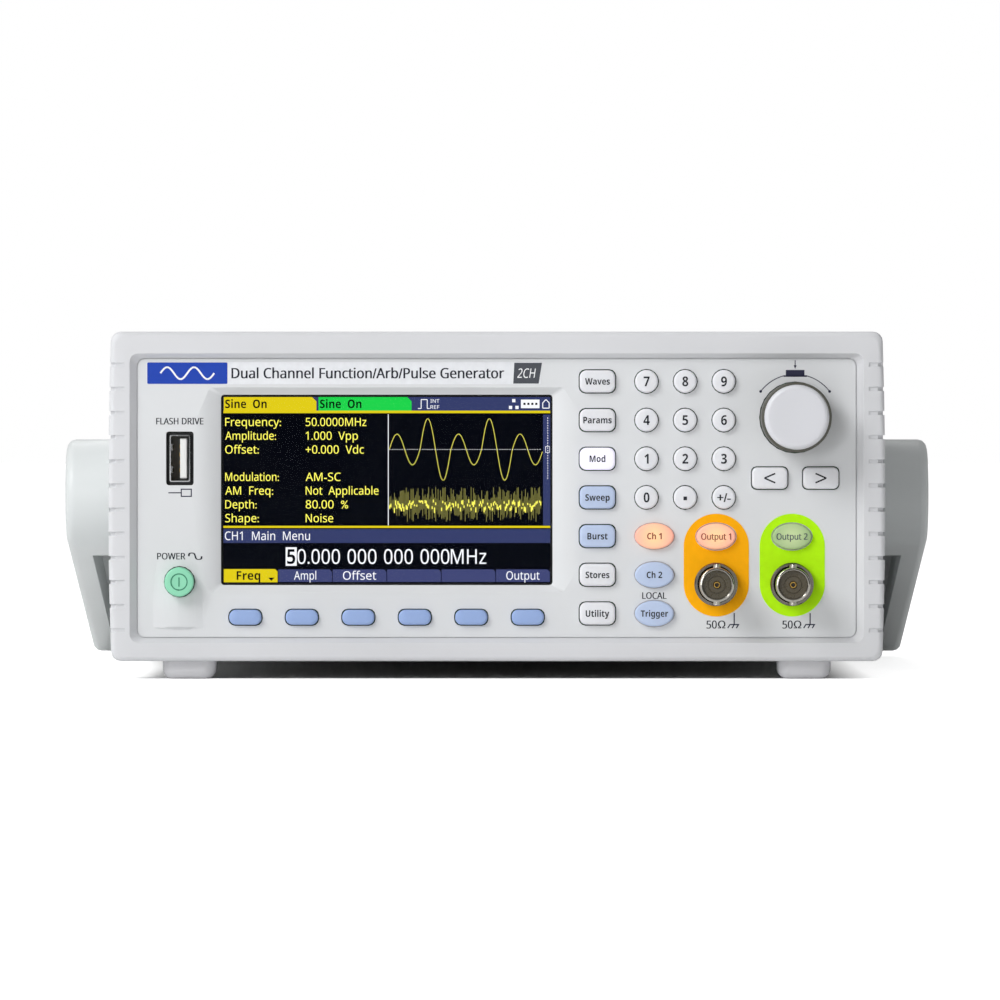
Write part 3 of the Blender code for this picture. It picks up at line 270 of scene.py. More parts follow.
# %% Silicone finishes
def silicone(name, code):
    made, tree, shader = blank(name)
    where = add(tree, "TexCoord").outputs["Object"]
    haze = add(tree, "TexNoise", {"Vector": where, "Scale": per_mm(1.2), "Detail": 2.0}).outputs["Fac"]
    tone = add(tree, "HueSaturation", {"Color": linear(code)})
    spread = {"Value": haze, "From Min": 0.3, "From Max": 0.7, "To Min": 0.985, "To Max": 1.015}
    tree.links.new(add(tree, "MapRange", spread).outputs["Result"], tone.inputs["Value"])
    bloom = add(tree, "TexNoise", {"Vector": where, "Scale": per_mm(0.25)}).outputs["Fac"]
    bump = add(tree, "Bump", {"Height": bloom, "Strength": 0.3, "Distance": 0.006 * MM})
    tree.links.new(tone.outputs["Color"], shader.inputs["Base Color"])
    tree.links.new(bump.outputs["Normal"], shader.inputs["Normal"])
    shader.inputs["Roughness"].default_value = 0.48
    shader.inputs["IOR"].default_value = 1.41
    shader.inputs["Subsurface Weight"].default_value = 0.25
    shader.inputs["Subsurface Radius"].default_value = (1.0, 0.9, 0.8)
    shader.inputs["Subsurface Scale"].default_value = 0.4 * MM
    return made


def lit_silicone(name, edge, core, half_width, strength):
    """Silicone with a lamp behind it: the colour runs from the edge's to the core's."""
    made, tree, shader = blank(name)
    where = add(tree, "TexCoord").outputs["Object"]
    apart = add(tree, "VectorMath", {0: where}, operation="LENGTH").outputs["Value"]
    near = add(tree, "MapRange", {"Value": apart, "From Min": half_width, "From Max": 0.0})
    tone = add(tree, "ValToRGB", {"Fac": near.outputs["Result"]}).outputs["Color"]
    ramp = tone.node.color_ramp
    ramp.elements[0].color = linear(edge)
    ramp.elements[1].color = linear(core)
    haze = add(tree, "TexNoise", {"Vector": where, "Scale": per_mm(0.3)}).outputs["Fac"]
    bump = add(tree, "Bump", {"Height": haze, "Strength": 0.3, "Distance": 0.006 * MM})
    tree.links.new(tone, shader.inputs["Base Color"])
    tree.links.new(tone, shader.inputs["Emission Color"])
    tree.links.new(bump.outputs["Normal"], shader.inputs["Normal"])
    shader.inputs["Emission Strength"].default_value = strength
    shader.inputs["Roughness"].default_value = 0.45
    shader.inputs["IOR"].default_value = 1.41
    return made


WHITE_SILICONE = silicone("white silicone rubber", "e4e5e9")
SKIRT_SILICONE = silicone("grey silicone skirt", "b9b4b4")
BLUE_SILICONE = silicone("pale blue silicone rubber", "bccbe6")
SOFT_SILICONE = silicone("periwinkle silicone rubber", "97afdc")

HALF_OVAL = 5.4 * MM
LAMP_WHITE = lit_silicone("white-lit silicone rubber", "e6e4f4", "f4f3ff", HALF_OVAL, 0.25)
LAMP_ORANGE = lit_silicone("orange-lit silicone rubber", "f2aa98", "f8cf98", HALF_OVAL, 0.28)
LAMP_GREEN = lit_silicone("green-tinted silicone rubber", "98b67e", "c9dba4", HALF_OVAL, 0.1)

# %% [markdown]
# ## Metals
# Socket shells are brass with bright nickel plating: a mirror with a warm cast and a trace of
# turning lines. The contacts are gold plated. The tray is zinc-plated sheet steel, whose crystals
# show as faint spangle, and the cover is sheet steel with a powder coat, which cures to a fine
# orange-peel surface.


# %% Metal finishes
def plated(name, code, roughness, grain, relief):
    made, tree, shader = blank(name)
    where = add(tree, "TexCoord").outputs["Object"]
    stain = add(tree, "TexNoise", {"Vector": where, "Scale": per_mm(grain), "Detail": 3.0}).outputs["Fac"]
    worn = {"Value": stain, "From Min": 0.3, "From Max": 0.7}
    worn.update({"To Min": roughness * 0.8, "To Max": roughness * 1.3})
    bump = add(tree, "Bump", {"Height": stain, "Strength": 0.3, "Distance": relief * MM})
    tree.links.new(add(tree, "MapRange", worn).outputs["Result"], shader.inputs["Roughness"])
    tree.links.new(bump.outputs["Normal"], shader.inputs["Normal"])
    shader.inputs["Base Color"].default_value = linear(code)
    shader.inputs["Metallic"].default_value = 1.0
    return made


def spangled_zinc():
    made, tree, shader = blank("zinc-plated sheet steel")
    where = add(tree, "TexCoord").outputs["Object"]
    cells = add(tree, "TexVoronoi", {"Vector": where, "Scale": per_mm(6.0)}).outputs["Color"]
    tone = add(tree, "ValToRGB", {"Fac": cells})
    tone.color_ramp.elements[0].color = linear("b9bcbd")
    tone.color_ramp.elements[1].color = linear("cfd1cf")
    rough = add(tree, "MapRange", {"Value": cells, "To Min": 0.32, "To Max": 0.46})
    tree.links.new(tone.outputs["Color"], shader.inputs["Base Color"])
    tree.links.new(rough.outputs["Result"], shader.inputs["Roughness"])
    shader.inputs["Metallic"].default_value = 1.0
    return made


NICKEL = plated("nickel-plated brass", "b9b5ac", 0.09, 1.5, 0.001)
# The flange is nickel plated, but its tone is darker than nickel's: a painted reflection of the dark room in
# front of it.
NICKEL_PAINTED_DARK_REFLECTION = plated("nickel plating darkened as painted reflection", "8a857c", 0.12, 1.5, 0.002)
GOLD = plated("gold-plated contact", "d9b061", 0.2, 0.8, 0.003)
TIN = plated("tinned steel shell", "c4c6c8", 0.22, 2.0, 0.006)
SCREW_STEEL = plated("zinc-plated screw steel", "b8babb", 0.3, 0.6, 0.01)
ZINCED = spangled_zinc()
POWDER_COAT = moulded("grey powder coat on steel", "d0d2d4", grain=1.2, relief=0.03, roughness=0.42)
# The insulator's dark olive-brown is painted shade of the deep barrel; the insulator itself is pale.
INSULATOR_PAINTED_SHADE = moulded("socket insulator darkened with painted shade", "4d4636", grain=0.5, relief=0.004, roughness=0.3)
GREY_NYLON = moulded("grey nylon", "6a6a66", grain=0.4, roughness=0.45)
WHITE_NYLON = moulded("white nylon", "e6e6e4", grain=0.4, roughness=0.4)
MINT_ABS = moulded("mint green ABS, smooth", "8ad6b2", grain=0.6, relief=0.003, roughness=0.35)

# %% [markdown]
# ## Inks, board and display
# Legends are screen-printed in one flat slate ink, which covers well and dries matt. The display
# gives its own light, so its colours are emission and don't depend on the studio lamps.


# %% Inks and display colours
def ink(name, code, roughness=0.6, shine=0.3):
    """Screen ink: thin, matt, with the faint unevenness of a squeegee pass."""
    made, tree, shader = blank(name)
    where = add(tree, "TexCoord").outputs["Object"]
    pass_marks = add(tree, "TexNoise", {"Vector": where, "Scale": per_mm(2.0)}).outputs["Fac"]
    tone = add(tree, "HueSaturation", {"Color": linear(code)})
    spread = {"Value": pass_marks, "From Min": 0.3, "From Max": 0.7, "To Min": 0.97, "To Max": 1.03}
    tree.links.new(add(tree, "MapRange", spread).outputs["Result"], tone.inputs["Value"])
    tree.links.new(tone.outputs["Color"], shader.inputs["Base Color"])
    shader.inputs["Roughness"].default_value = roughness
    shader.inputs["Specular IOR Level"].default_value = shine
    return made


def glowing(name, code, strength=1.0):
    """Display light: each colour comes through a grid of picture cells, drawn 0.3 mm apart."""
    made = bpy.data.materials.new(name)
    made.use_nodes = True
    tree = made.node_tree
    tree.nodes.clear()
    where = add(tree, "TexCoord").outputs["Object"]
    cells = add(tree, "TexWave", {"Vector": where, "Scale": per_mm(0.9)}, bands_direction="X").outputs["Fac"]
    tone = add(tree, "HueSaturation", {"Color": linear(code)})
    spread = add(tree, "MapRange", {"Value": cells, "To Min": 0.94, "To Max": 1.0}).outputs["Result"]
    tree.links.new(spread, tone.inputs["Value"])
    light = add(tree, "Emission", {"Color": tone.outputs["Color"], "Strength": strength})
    made.cycles.emission_sampling = "NONE"
    add(tree, "OutputMaterial", {"Surface": light.outputs["Emission"]})
    return made


LEGEND_INK = ink("slate legend ink", "1e202c")
NAVY_INK = ink("navy symbol ink", "24263f")
# The films are back-printed and etched matt, so their face throws back little white light.
ORANGE_FILM = ink("orange overlay film", "fdb000", 0.6, shine=0.12)
GREEN_FILM = ink("green overlay film", "b6f60c", 0.6, shine=0.12)
LABEL_FILM = ink("white label film", "e4e6ea", 0.4)
BLUE_INK = ink("blue label ink", "1a41ac", 0.4, shine=0.2)
GREY_INK = ink("grey label ink", "4c4f56", 0.4, shine=0.2)
WHITE_INK = ink("white label ink", "f4f5f7", 0.4)
KEY_INK = ink("grey key ink", "26272e")
BROWN_INK = ink("red-brown key ink", "8a3d2c")
SLATE_INK = ink("slate key ink", "4a5560")
GLOW_YELLOW = glowing("display yellow", "efd81c")
GLOW_LEMON = glowing("display text yellow", "f0e85c", 1.5)
GLOW_GREEN = glowing("display green", "22de50")
GLOW_SLATE = glowing("display slate", "3b4370")
GLOW_TAB = glowing("display tab slate", "464c7c")
GLOW_WHITE = glowing("display white", "f2f2f6", 1.25)
GLOW_NIGHT = glowing("display dark", "05070f")
GLOW_OLIVE = glowing("display olive", "8d8948")
DISPLAY_FRAME = ink("black display mask", "0b0b0d", 0.5)


def clear_window():
    """Anti-reflection coated polycarbonate: light passes straight on, with a trace of reflection."""
    made = bpy.data.materials.new("clear polycarbonate")
    made.use_nodes = True
    tree = made.node_tree
    tree.nodes.clear()
    where = add(tree, "TexCoord").outputs["Object"]
    wipe = add(tree, "TexNoise", {"Vector": where, "Scale": per_mm(25.0), "Detail": 4.0}).outputs["Fac"]
    worn = {"Value": wipe, "From Min": 0.4, "From Max": 0.8, "To Min": 0.1, "To Max": 0.2}
    haze = add(tree, "MapRange", worn)
    mirror = add(tree, "BsdfAnisotropic", {"Roughness": haze.outputs["Result"]})
    through = add(tree, "BsdfTransparent", {"Color": linear("fafbfc")})
    edge_on = add(tree, "Fresnel", {"IOR": 1.12}).outputs["Fac"]
    both = add(tree, "MixShader", {0: edge_on, 1: through.outputs["BSDF"], 2: mirror.outputs["BSDF"]})
    add(tree, "OutputMaterial", {"Surface": both.outputs["Shader"]})
    return made


def laminate():
    """Circuit board: green solder mask over woven glass and copper tracks."""
    made, tree, shader = blank("solder-masked laminate")
    where = add(tree, "TexCoord").outputs["Object"]
    tracks = add(tree, "TexBrick", {"Vector": where, "Scale": per_mm(40.0), "Mortar Size": 0.02})
    tracks.inputs["Color1"].default_value = linear("1d5a34")
    tracks.inputs["Color2"].default_value = linear("1a5230")
    tracks.inputs["Mortar"].default_value = linear("2c7446")
    tree.links.new(tracks.outputs["Color"], shader.inputs["Base Color"])
    shader.inputs["Roughness"].default_value = 0.35
    return made


WINDOW = clear_window()
LAMINATE = laminate()
print(len(bpy.data.materials), "materials")

# %% [markdown]

# %% [markdown]
# ## Finishes on the measured solids
# The imported solids come as loose triangles. A Weld joins them, a small Bevel rounds their edges
# as a mould or a press would, and weighted normals keep the flats flat. None of that changes the
# solid itself.


# %% Dress the measured solids
def dress(node, finish, edge=0.25, segments=2, smooth=32.0):
    solid = nodes[node]
    solid.data.materials.clear()
    solid.data.materials.append(finish)
    for face in solid.data.polygons:
        face.use_smooth = True
    weld = solid.modifiers.new("weld", "WELD")
    weld.merge_threshold = 0.002 * MM
    bevel = solid.modifiers.new("edges", "BEVEL")
    bevel.width = edge * MM
    bevel.segments = segments
    bevel.limit_method = "ANGLE"
    bevel.angle_limit = math.radians(smooth)
    bevel.harden_normals = True
    bevel.use_clamp_overlap = True
    normals = solid.modifiers.new("normals", "WEIGHTED_NORMAL")
    normals.keep_sharp = True


for name in ("front_bezel", "rear_bezel"):
    dress(name, CASE_ABS, 0.15)
dress("front_panel", PANEL_ABS, 0.12)
for name in ("handle_arm_left", "handle_arm_right", "handle_grip"):
    dress(name, HANDLE_ABS, 0.4)
dress("case_cover", POWDER_COAT, 0.2)
dress("rear_panel", POWDER_COAT, 0.15)
dress("chassis_tray", ZINCED, 0.15)
dress("power_supply", ZINCED, 0.3)
dress("encoder_body", ZINCED, 0.3)
dress("display_window", WINDOW, 0.1)
for name in ("display_module", "power_switch", "encoder_plunger"):
    dress(name, BLACK_NYLON, 0.2)
dress("keypad_board", LAMINATE, 0.1)
dress("encoder_spindle", NICKEL, 0.2)

# %% [markdown]
# ## Outlines and skins
# Most pieces are a stack of outlines with a skin over them: a key cap is the same outline pushed
# forward, then drawn in at its edge. Round pieces are turned from a half section.


# %% Shape helpers
def rounded_rect(width, height, radius, steps=8):
    points = []
    for quarter in range(4):
        across = 1 if quarter in (0, 3) else -1
        up = 1 if quarter in (0, 1) else -1
        for step in range(steps + 1):
            turn = (quarter + step / steps) * math.pi / 2
            x = across * (width / 2 - radius) + radius * math.cos(turn)
            points.append((x, up * (height / 2 - radius) + radius * math.sin(turn)))
    return points


def ellipse(width, height, steps=64):
    turns = [2 * math.pi * step / steps for step in range(steps)]
    return [(width / 2 * math.cos(turn), height / 2 * math.sin(turn)) for turn in turns]


def keep(bm, name, finish, body, place=(0, 0, 0), smooth=35.0):
    """Closes a mesh in the making, gives it its finish and rides it on a body of the frame."""
    bmesh.ops.recalc_face_normals(bm, faces=bm.faces)
    mesh = bpy.data.meshes.new(name)
    bm.to_mesh(mesh)
    bm.free()
    mesh.shade_smooth()
    mesh.set_sharp_from_angle(angle=math.radians(smooth))
    mesh.materials.append(finish)
    piece = bpy.data.objects.new(name, mesh)
    piece.location = place
    bpy.context.scene.collection.objects.link(piece)
    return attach(piece, body)


def skin(bm, rings, closed=False):
    """Quads between rings of equal length; the first and last ring are capped unless it is closed."""
    loops = [[bm.verts.new(point) for point in ring] for ring in rings]
    pairs = list(zip(loops, loops[1:] + loops[:1]))
    if not closed:
        pairs = pairs[:-1]
        bm.faces.new(loops[0])
        bm.faces.new(loops[-1])
    for first, second in pairs:
        for near in range(len(first)):
            far = (near + 1) % len(first)
            bm.faces.new((first[near], first[far], second[far], second[near]))


def turned(bm, profile, steps=72, facing=-1, centre=(0.0, 0.0, 0.0)):
    """Turns (radius, height) points about Y; heights rise towards the front, or the back if facing is 1."""
    rings = []
    for radius, height in profile:
        ring = []
        for step in range(steps):
            turn = 2 * math.pi * step / steps
            x = centre[0] + radius * math.cos(turn)
            ring.append((x, centre[1] + facing * height, centre[2] + radius * math.sin(turn)))
        rings.append(ring)
    skin(bm, rings)


def ring(outline, x, z, y):
    """An outline stood upright at (x, z), at one depth."""
    return [(x + u, y, z + v) for u, v in outline]


def prism(bm, outline, x, z, front, back):
    """An outline at (x, z) made solid between two depths."""
    skin(bm, [ring(outline, x, z, y) for y in (back, front)])


def print_patch(bm, outline, x, z, layers=1):
    """A printed patch on the panel's face; each layer of ink lies on the one before."""
    prism(bm, outline, x, z, PANEL_FACE - layers * PRINT, PANEL_FACE - (layers - 1) * PRINT)


def rounding(inset, steps=4):
    """(inset, setback) pairs round a quarter circle, from the side wall to the face."""
    turns = [step / steps * math.pi / 2 for step in range(steps + 1)]
    return [(inset * (1 - math.cos(turn)), inset * (1 - math.sin(turn))) for turn in turns]


# %% [markdown]
# ## Lettering
# Printed words start as text curves. Instruments are lettered in a plain upright sans face.
# Blender's own font isn't one, but the font that it falls back on for mathematical letters is, so
# each letter and digit is exchanged for its mathematical sans twin before the curve is made. Then
# the curve becomes a mesh, which is stood on the panel and scaled so that its capitals have the
# height that the drawing asks for.


# %% Text helper
SANS_BLOCKS = (("A", "Z", 0x1D5A0, 0x1D5D4), ("a", "z", 0x1D5BA, 0x1D5EE), ("0", "9", 0x1D7E2, 0x1D7EC))


def sans(text, bold):
    letters = []
    for letter in text:
        for first, last, plain_start, bold_start in SANS_BLOCKS:
            if first <= letter <= last:
                letter = chr((bold_start if bold else plain_start) + ord(letter) - ord(first))
                break
        letters.append(letter)
    return "".join(letters)


def text_mesh(text, bold=False, slant=0.0):
    """Words as a mesh in the XY plane, in units of the font's own size."""
    curve = bpy.data.curves.new("words", "FONT")
    curve.body = sans(text, bold)
    curve.resolution_u = 3
    curve.extrude = 0.02
    curve.shear = slant
    holder = bpy.data.objects.new("words", curve)
    bpy.context.scene.collection.objects.link(holder)
    graph = bpy.context.evaluated_depsgraph_get()
    mesh = bpy.data.meshes.new_from_object(holder.evaluated_get(graph))
    bpy.data.objects.remove(holder, do_unlink=True)
    return mesh


def words(bm, text, x, z, y, height, align="CENTER", width=None, bold=False, slant=0.0, thickness=PRINT):
    """Adds words to a mesh; height is that of a capital letter, and width squeezes them to fit."""
    mesh = text_mesh(text, bold, slant)
    low = min(v.co.x for v in mesh.vertices)
    high = max(v.co.x for v in mesh.vertices)
    tall = height / CAPITAL
    wide = width / (high - low) if width else tall * CONDENSED
    shift = {"LEFT": low, "CENTER": (low + high) / 2, "RIGHT": high}[align]
    for vertex in mesh.vertices:
        u, v, w = vertex.co
        vertex.co = (x + (u - shift) * wide, y - w / 0.02 * thickness, z + (v - CAPITAL / 2) * tall)
    bm.from_mesh(mesh)
    bpy.data.meshes.remove(mesh)


def struck(bm, text, x, z, y, height, width=None, bold=False, spread=0.1):
    """Centred words printed twice, this many millimetres apart, for a weight between plain and bold."""
    sides = (-0.5, 0.5) if spread else (0.0,)
    for side in sides:
        words(bm, text, x + side * spread * MM, z, y - (side > 0) * 0.002 * MM, height, "CENTER", width, bold)


CONDENSED = 0.86
probe = text_mesh("H")
CAPITAL = max(v.co.y for v in probe.vertices)
bpy.data.meshes.remove(probe)
print("capital height of the font:", round(CAPITAL, 3))

# %% [markdown]
# ## Keys
# Each cap is its outline carried forward from behind the panel, rounded over at the front edge,
# with a face that swells by a tenth of a millimetre. The legend is printed on the face, so it
# moves with the key.

# %% Key caps
KEY_FLANGE = 0.8 * MM
KEY_ROUND = 0.6 * MM
KEY_CROWN = 0.12 * MM


def key_cap(node, outline_of, finish):
    low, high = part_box(node)
    width = high.x - low.x - 2 * KEY_FLANGE
    height = high.z - low.z - 2 * KEY_FLANGE
    centre = middle(node)
    front = low.y
    steps = [(0.0, high.y - front)]
    steps += rounding(KEY_ROUND)
    for share in (0.25, 0.5, 0.75, 0.9):
        swell = KEY_CROWN * math.sin(share * math.pi / 2)
        steps.append((KEY_ROUND + share * (height / 2 - KEY_ROUND), -swell))
    rings = []
    for inset, setback in steps:
        outline = outline_of(width - 2 * inset, height - 2 * inset)
        rings.append([(u, setback, v) for u, v in outline])
    bm = bmesh.new()
    skin(bm, rings)
    cap = keep(bm, f"{node}_cap", finish, node, (centre.x, front, centre.z), 50.0)
    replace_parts(cap, node)
    return cap


def corner_outline(radius):
    def outline(width, height):
        return rounded_rect(width, height, min(radius, 0.49 * height, 0.49 * width))

    return outline


def legend(node, text, height, width=None, colour=KEY_INK, bold=True, spread=0.0):
    """Prints a key's legend on its face."""
    centre = middle(node)
    bm = bmesh.new()
    struck(bm, text, centre.x, centre.z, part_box(node)[0].y - KEY_CROWN, height, width, bold, spread)
    keep(bm, f"{node}_legend", colour, node)


FUNCTION_LEGENDS = {
    "key_waves": "Waves",
    "key_params": "Params",
    "key_mod": "Mod",
    "key_sweep": "Sweep",
    "key_burst": "Burst",
    "key_stores": "Stores",
    "key_utility": "Utility",
}
for node, text in FUNCTION_LEGENDS.items():
    finish = BLUE_SILICONE if node in ("key_sweep", "key_burst") else WHITE_SILICONE
    key_cap(node, corner_outline(1.9 * MM), LAMP_WHITE if node == "key_mod" else finish)
    legend(node, text, 1.8 * MM)
for digit in "0123456789":
    key_cap(f"key_{digit}", ellipse, WHITE_SILICONE)
    legend(f"key_{digit}", digit, 2.7 * MM)
key_cap("key_point", ellipse, WHITE_SILICONE)
legend("key_point", "▪", 2.6 * MM, width=1.0 * MM)
key_cap("key_sign", ellipse, WHITE_SILICONE)
legend("key_sign", "+/-", 2.5 * MM, width=3.6 * MM, spread=0.16)
OVAL_KEYS = (
    ("key_channel_1", LAMP_ORANGE, "Ch 1", BROWN_INK),
    ("key_channel_2", BLUE_SILICONE, "Ch 2", KEY_INK),
    ("key_trigger", BLUE_SILICONE, "Trigger", KEY_INK),
    ("key_output_1", LAMP_ORANGE, "Output 1", BROWN_INK),
    ("key_output_2", LAMP_GREEN, "Output 2", SLATE_INK),
)
for node, finish, text, colour in OVAL_KEYS:
    key_cap(node, ellipse, finish)
    fine = text.startswith("Output")
    legend(node, text, 1.75 * MM, colour=colour, bold=not fine, spread=0.08 if fine else 0.0)
for index in range(1, 7):
    key_cap(f"soft_key_{index}", corner_outline(1.9 * MM), SOFT_SILICONE)


# %% Cursor keys
def arrow_head(bm, x, z, y, reach, rise, stroke, hand):
    """An open arrow head made of two strokes."""
    for up in (-1, 1):
        tip = Vector((x - hand * reach / 2, z))
        tail = Vector((x + hand * reach / 2, z + up * rise))
        along = (tail - tip).normalized()
        across = Vector((-along.y, along.x)) * stroke / 2
        corners = [tip + across, tail + across, tail - across, tip - across]
        prism(bm, [(c.x, c.y) for c in corners], 0.0, 0.0, y - PRINT, y)


for node, hand in (("key_cursor_left", 1), ("key_cursor_right", -1)):
    key_cap(node, corner_outline(1.5 * MM), WHITE_SILICONE)
    centre = middle(node)
    bm = bmesh.new()
    arrow_head(bm, centre.x, centre.z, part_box(node)[0].y - KEY_CROWN, 3.0 * MM, 1.3 * MM, 0.42 * MM, hand)
    keep(bm, f"{node}_legend", KEY_INK, node)

# %% [markdown]
# ## Rotary knob and power button
# Both are turned shapes. The knob is a rubber sleeve, for grip, around a smooth cap whose front is
# dished by a hair inside a rounded rim. The power button has a printed ring and bar on its face.

# %% Knob
knob_low, knob_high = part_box("knob")
knob_centre = middle("knob")
knob_radius = (knob_high.x - knob_low.x) / 2
knob_length = knob_high.y - knob_low.y
CAP_RADIUS = 9.1 * MM
CAP_ROUND = 1.5 * MM
knob_place = (knob_centre.x, knob_high.y, knob_centre.z)
profile = [(3.3 * MM, 0.0), (knob_radius - 0.3 * MM, 0.0), (knob_radius, 0.3 * MM)]
for inset, setback in rounding(0.5 * MM, 5):
    profile.append((knob_radius - inset, knob_length - 1.0 * MM - setback))
profile += [(CAP_RADIUS - 0.2 * MM, knob_length - 1.1 * MM), (3.3 * MM, knob_length - 1.3 * MM)]
bm = bmesh.new()
turned(bm, profile, 128)
sleeve = keep(bm, "knob_sleeve", KNOB_RUBBER, "rotary_turn", knob_place)
profile = [(0.2 * MM, knob_length - 2.6 * MM), (CAP_RADIUS, knob_length - 2.6 * MM)]
for inset, setback in rounding(CAP_ROUND, 8):
    profile.append((CAP_RADIUS - inset, knob_length - setback))
profile += [(CAP_RADIUS * 0.6, knob_length - 0.08 * MM), (0.2 * MM, knob_length - 0.12 * MM)]
bm = bmesh.new()
turned(bm, profile, 128)
keep(bm, "knob_cap", KNOB_ABS, "rotary_turn", knob_place)
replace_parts(sleeve, "knob")

# %% Power button
button_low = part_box("power_button")[0]
button_centre = middle("power_button")
button_radius = 4.1 * MM
button_length = PANEL_FACE + 2.8 * MM - button_low.y
profile = [(0.3 * MM, 0.0), (button_radius, 0.0)]
for inset, setback in rounding(0.5 * MM, 5):
    profile.append((button_radius - inset, button_length - setback))
profile += [(button_radius * 0.5, button_length - 0.05 * MM), (0.1 * MM, button_length - 0.08 * MM)]
bm = bmesh.new()
turned(bm, profile, 96)
place = (button_centre.x, button_low.y + button_length, button_centre.z)
button = keep(bm, "power_button_cap", MINT_ABS, "power_button", place)
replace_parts(button, "power_button")


def ring_print(bm, x, z, y, radius, stroke, first=0.0, last=360.0, steps=48):
    """A printed ring, or an arc of one, with square ends."""
    span = math.radians(last - first)
    for step in range(steps):
        a = math.radians(first) + span * step / steps
        b = math.radians(first) + span * (step + 1) / steps
        corners = []
        for turn, reach in ((a, -1), (b, -1), (b, 1), (a, 1)):
            size = radius + reach * stroke / 2
            corners.append((size * math.cos(turn), size * math.sin(turn)))
        prism(bm, corners, x, z, y - PRINT, y)
    bmesh.ops.remove_doubles(bm, verts=bm.verts, dist=PRINT / 10)


POWER_INK = ink("dark green button ink", "3c8a6a")
bm = bmesh.new()
ring_print(bm, button_centre.x, button_centre.z, button_low.y, 2.25 * MM, 0.32 * MM)
bar = rounded_rect(0.32 * MM, 2.6 * MM, 0.1 * MM, 2)
prism(bm, bar, button_centre.x, button_centre.z, button_low.y - PRINT, button_low.y)
keep(bm, "power_button_mark", POWER_INK, "power_button")

# %% [markdown]
# ## Output sockets
# A panel coaxial socket is a turned shell with a flange against the panel, a thin-walled barrel
# and two bayonet lugs. An insulator fills the barrel's inside and holds the centre contact, a
# split tube that grips the plug's pin.


# %% Coaxial sockets
def circle(x, z, radius, y, steps=72):
    turns = [2 * math.pi * step / steps for step in range(steps)]
    return [(x + radius * math.cos(turn), y, z + radius * math.sin(turn)) for turn in turns]


def coaxial(tag, x, z, face, reach, facing):
    """One socket, of which it returns the shell; facing is -1 on the front and 1 on the rear."""
    def hoops(section):
        return [circle(x, z, radius * MM, face + facing * height * MM) for radius, height in section]

    barrel = [
        (4.0, -6.0), (5.2, -6.0), (5.2, 0.15), (5.0, 0.4), (4.8, 0.6), (4.8, reach - 5.2),
        (4.6, reach - 5.0), (4.6, reach - 4.4), (4.8, reach - 4.2), (4.8, reach - 0.35),
        (4.7, reach - 0.1), (4.5, reach), (4.3, reach), (4.1, reach - 0.15), (4.05, reach - 0.5),
        (4.05, 0.5), (4.0, 0.4),
    ]
    bm = bmesh.new()
    skin(bm, hoops(barrel), closed=True)
    lug_depth = face + facing * (reach - 2.6) * MM
    for up in (-1, 1):
        lug = bmesh.new()
        stand = Matrix.Translation((x, lug_depth, z + up * 5.15 * MM))
        bmesh.ops.create_cone(
            lug, cap_ends=True, segments=24, radius1=MM, radius2=MM, depth=1.1 * MM, matrix=stand
        )
        edges = [edge for edge in lug.edges if edge.calc_face_angle() > 1.0]
        bmesh.ops.bevel(lug, geom=edges, offset=0.15 * MM, segments=2, affect="EDGES")
        part = bpy.data.meshes.new("lug")
        lug.to_mesh(part)
        lug.free()
        bm.from_mesh(part)
        bpy.data.meshes.remove(part)
    shell = keep(bm, f"{tag}_shell", NICKEL, "root")
    # The flange's darkened nickel is partly painted reflection of the dark room.
    bm = bmesh.new()
    flange = [(4.9, 0.15), (5.9, 0.15), (6.05, 0.3), (6.05, 1.6), (5.75, 2.0), (5.2, 2.0), (4.9, 1.7)]
    skin(bm, hoops(flange), closed=True)
    keep(bm, f"{tag}_flange", NICKEL_PAINTED_DARK_REFLECTION, "root")
    bm = bmesh.new()
    steps = [(3.98, -1.0), (3.98, reach - 1.3), (3.85, reach - 1.2), (2.6, reach - 1.2), (2.5, reach - 1.4)]
    steps += [(2.3, reach - 1.4), (2.2, reach - 1.2), (1.1, reach - 1.2), (1.0, reach - 1.4), (1.0, 0.0)]
    profile = [(radius * MM, height * MM) for radius, height in steps]
    turned(bm, profile, 64, facing, (x, face, z))
    # Its dark finish is painted shade of the barrel's bore.
    keep(bm, f"{tag}_insulator", INSULATOR_PAINTED_SHADE, "root")
    bm = bmesh.new()
    steps = [(0.95, 0.2), (0.95, reach - 1.1), (0.85, reach - 0.9), (0.6, reach - 0.9), (0.52, reach - 1.1)]
    steps += [(0.52, reach - 6.0)]
    turned(bm, [(radius * MM, height * MM) for radius, height in steps], 32, facing, (x, face, z))
    keep(bm, f"{tag}_contact", GOLD, "root")
    # A black plug inside the contact's hole is painted shade: it darkens the hole, which is empty on the real
    # socket.
    bm = bmesh.new()
    turned(bm, [(0.5 * MM, (reach - 5.0) * MM), (0.5 * MM, (reach - 1.5) * MM)], 32, facing, (x, face, z))
    keep(bm, f"{tag}_contact_bore_shade_plug", BLACK_NYLON, "root")
    return shell


for number in (1, 2):
    centre = middle(f"output_socket_{number}")
    reach = (PANEL_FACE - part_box(f"output_socket_{number}")[0].y) / MM
    shell = coaxial(f"output_{number}", centre.x, centre.z, PANEL_FACE, reach, -1)
    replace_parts(shell, f"output_socket_{number}")
print("output sockets stand out", round(reach, 2), "mm")

# %% [markdown]
# ## Overlay films, printed legends and title strip
# Two coloured films mark the channels. Each is a stadium shape with holes for its key and socket,
# so it is cut as a ring-like sheet. The panel's own words are ink.


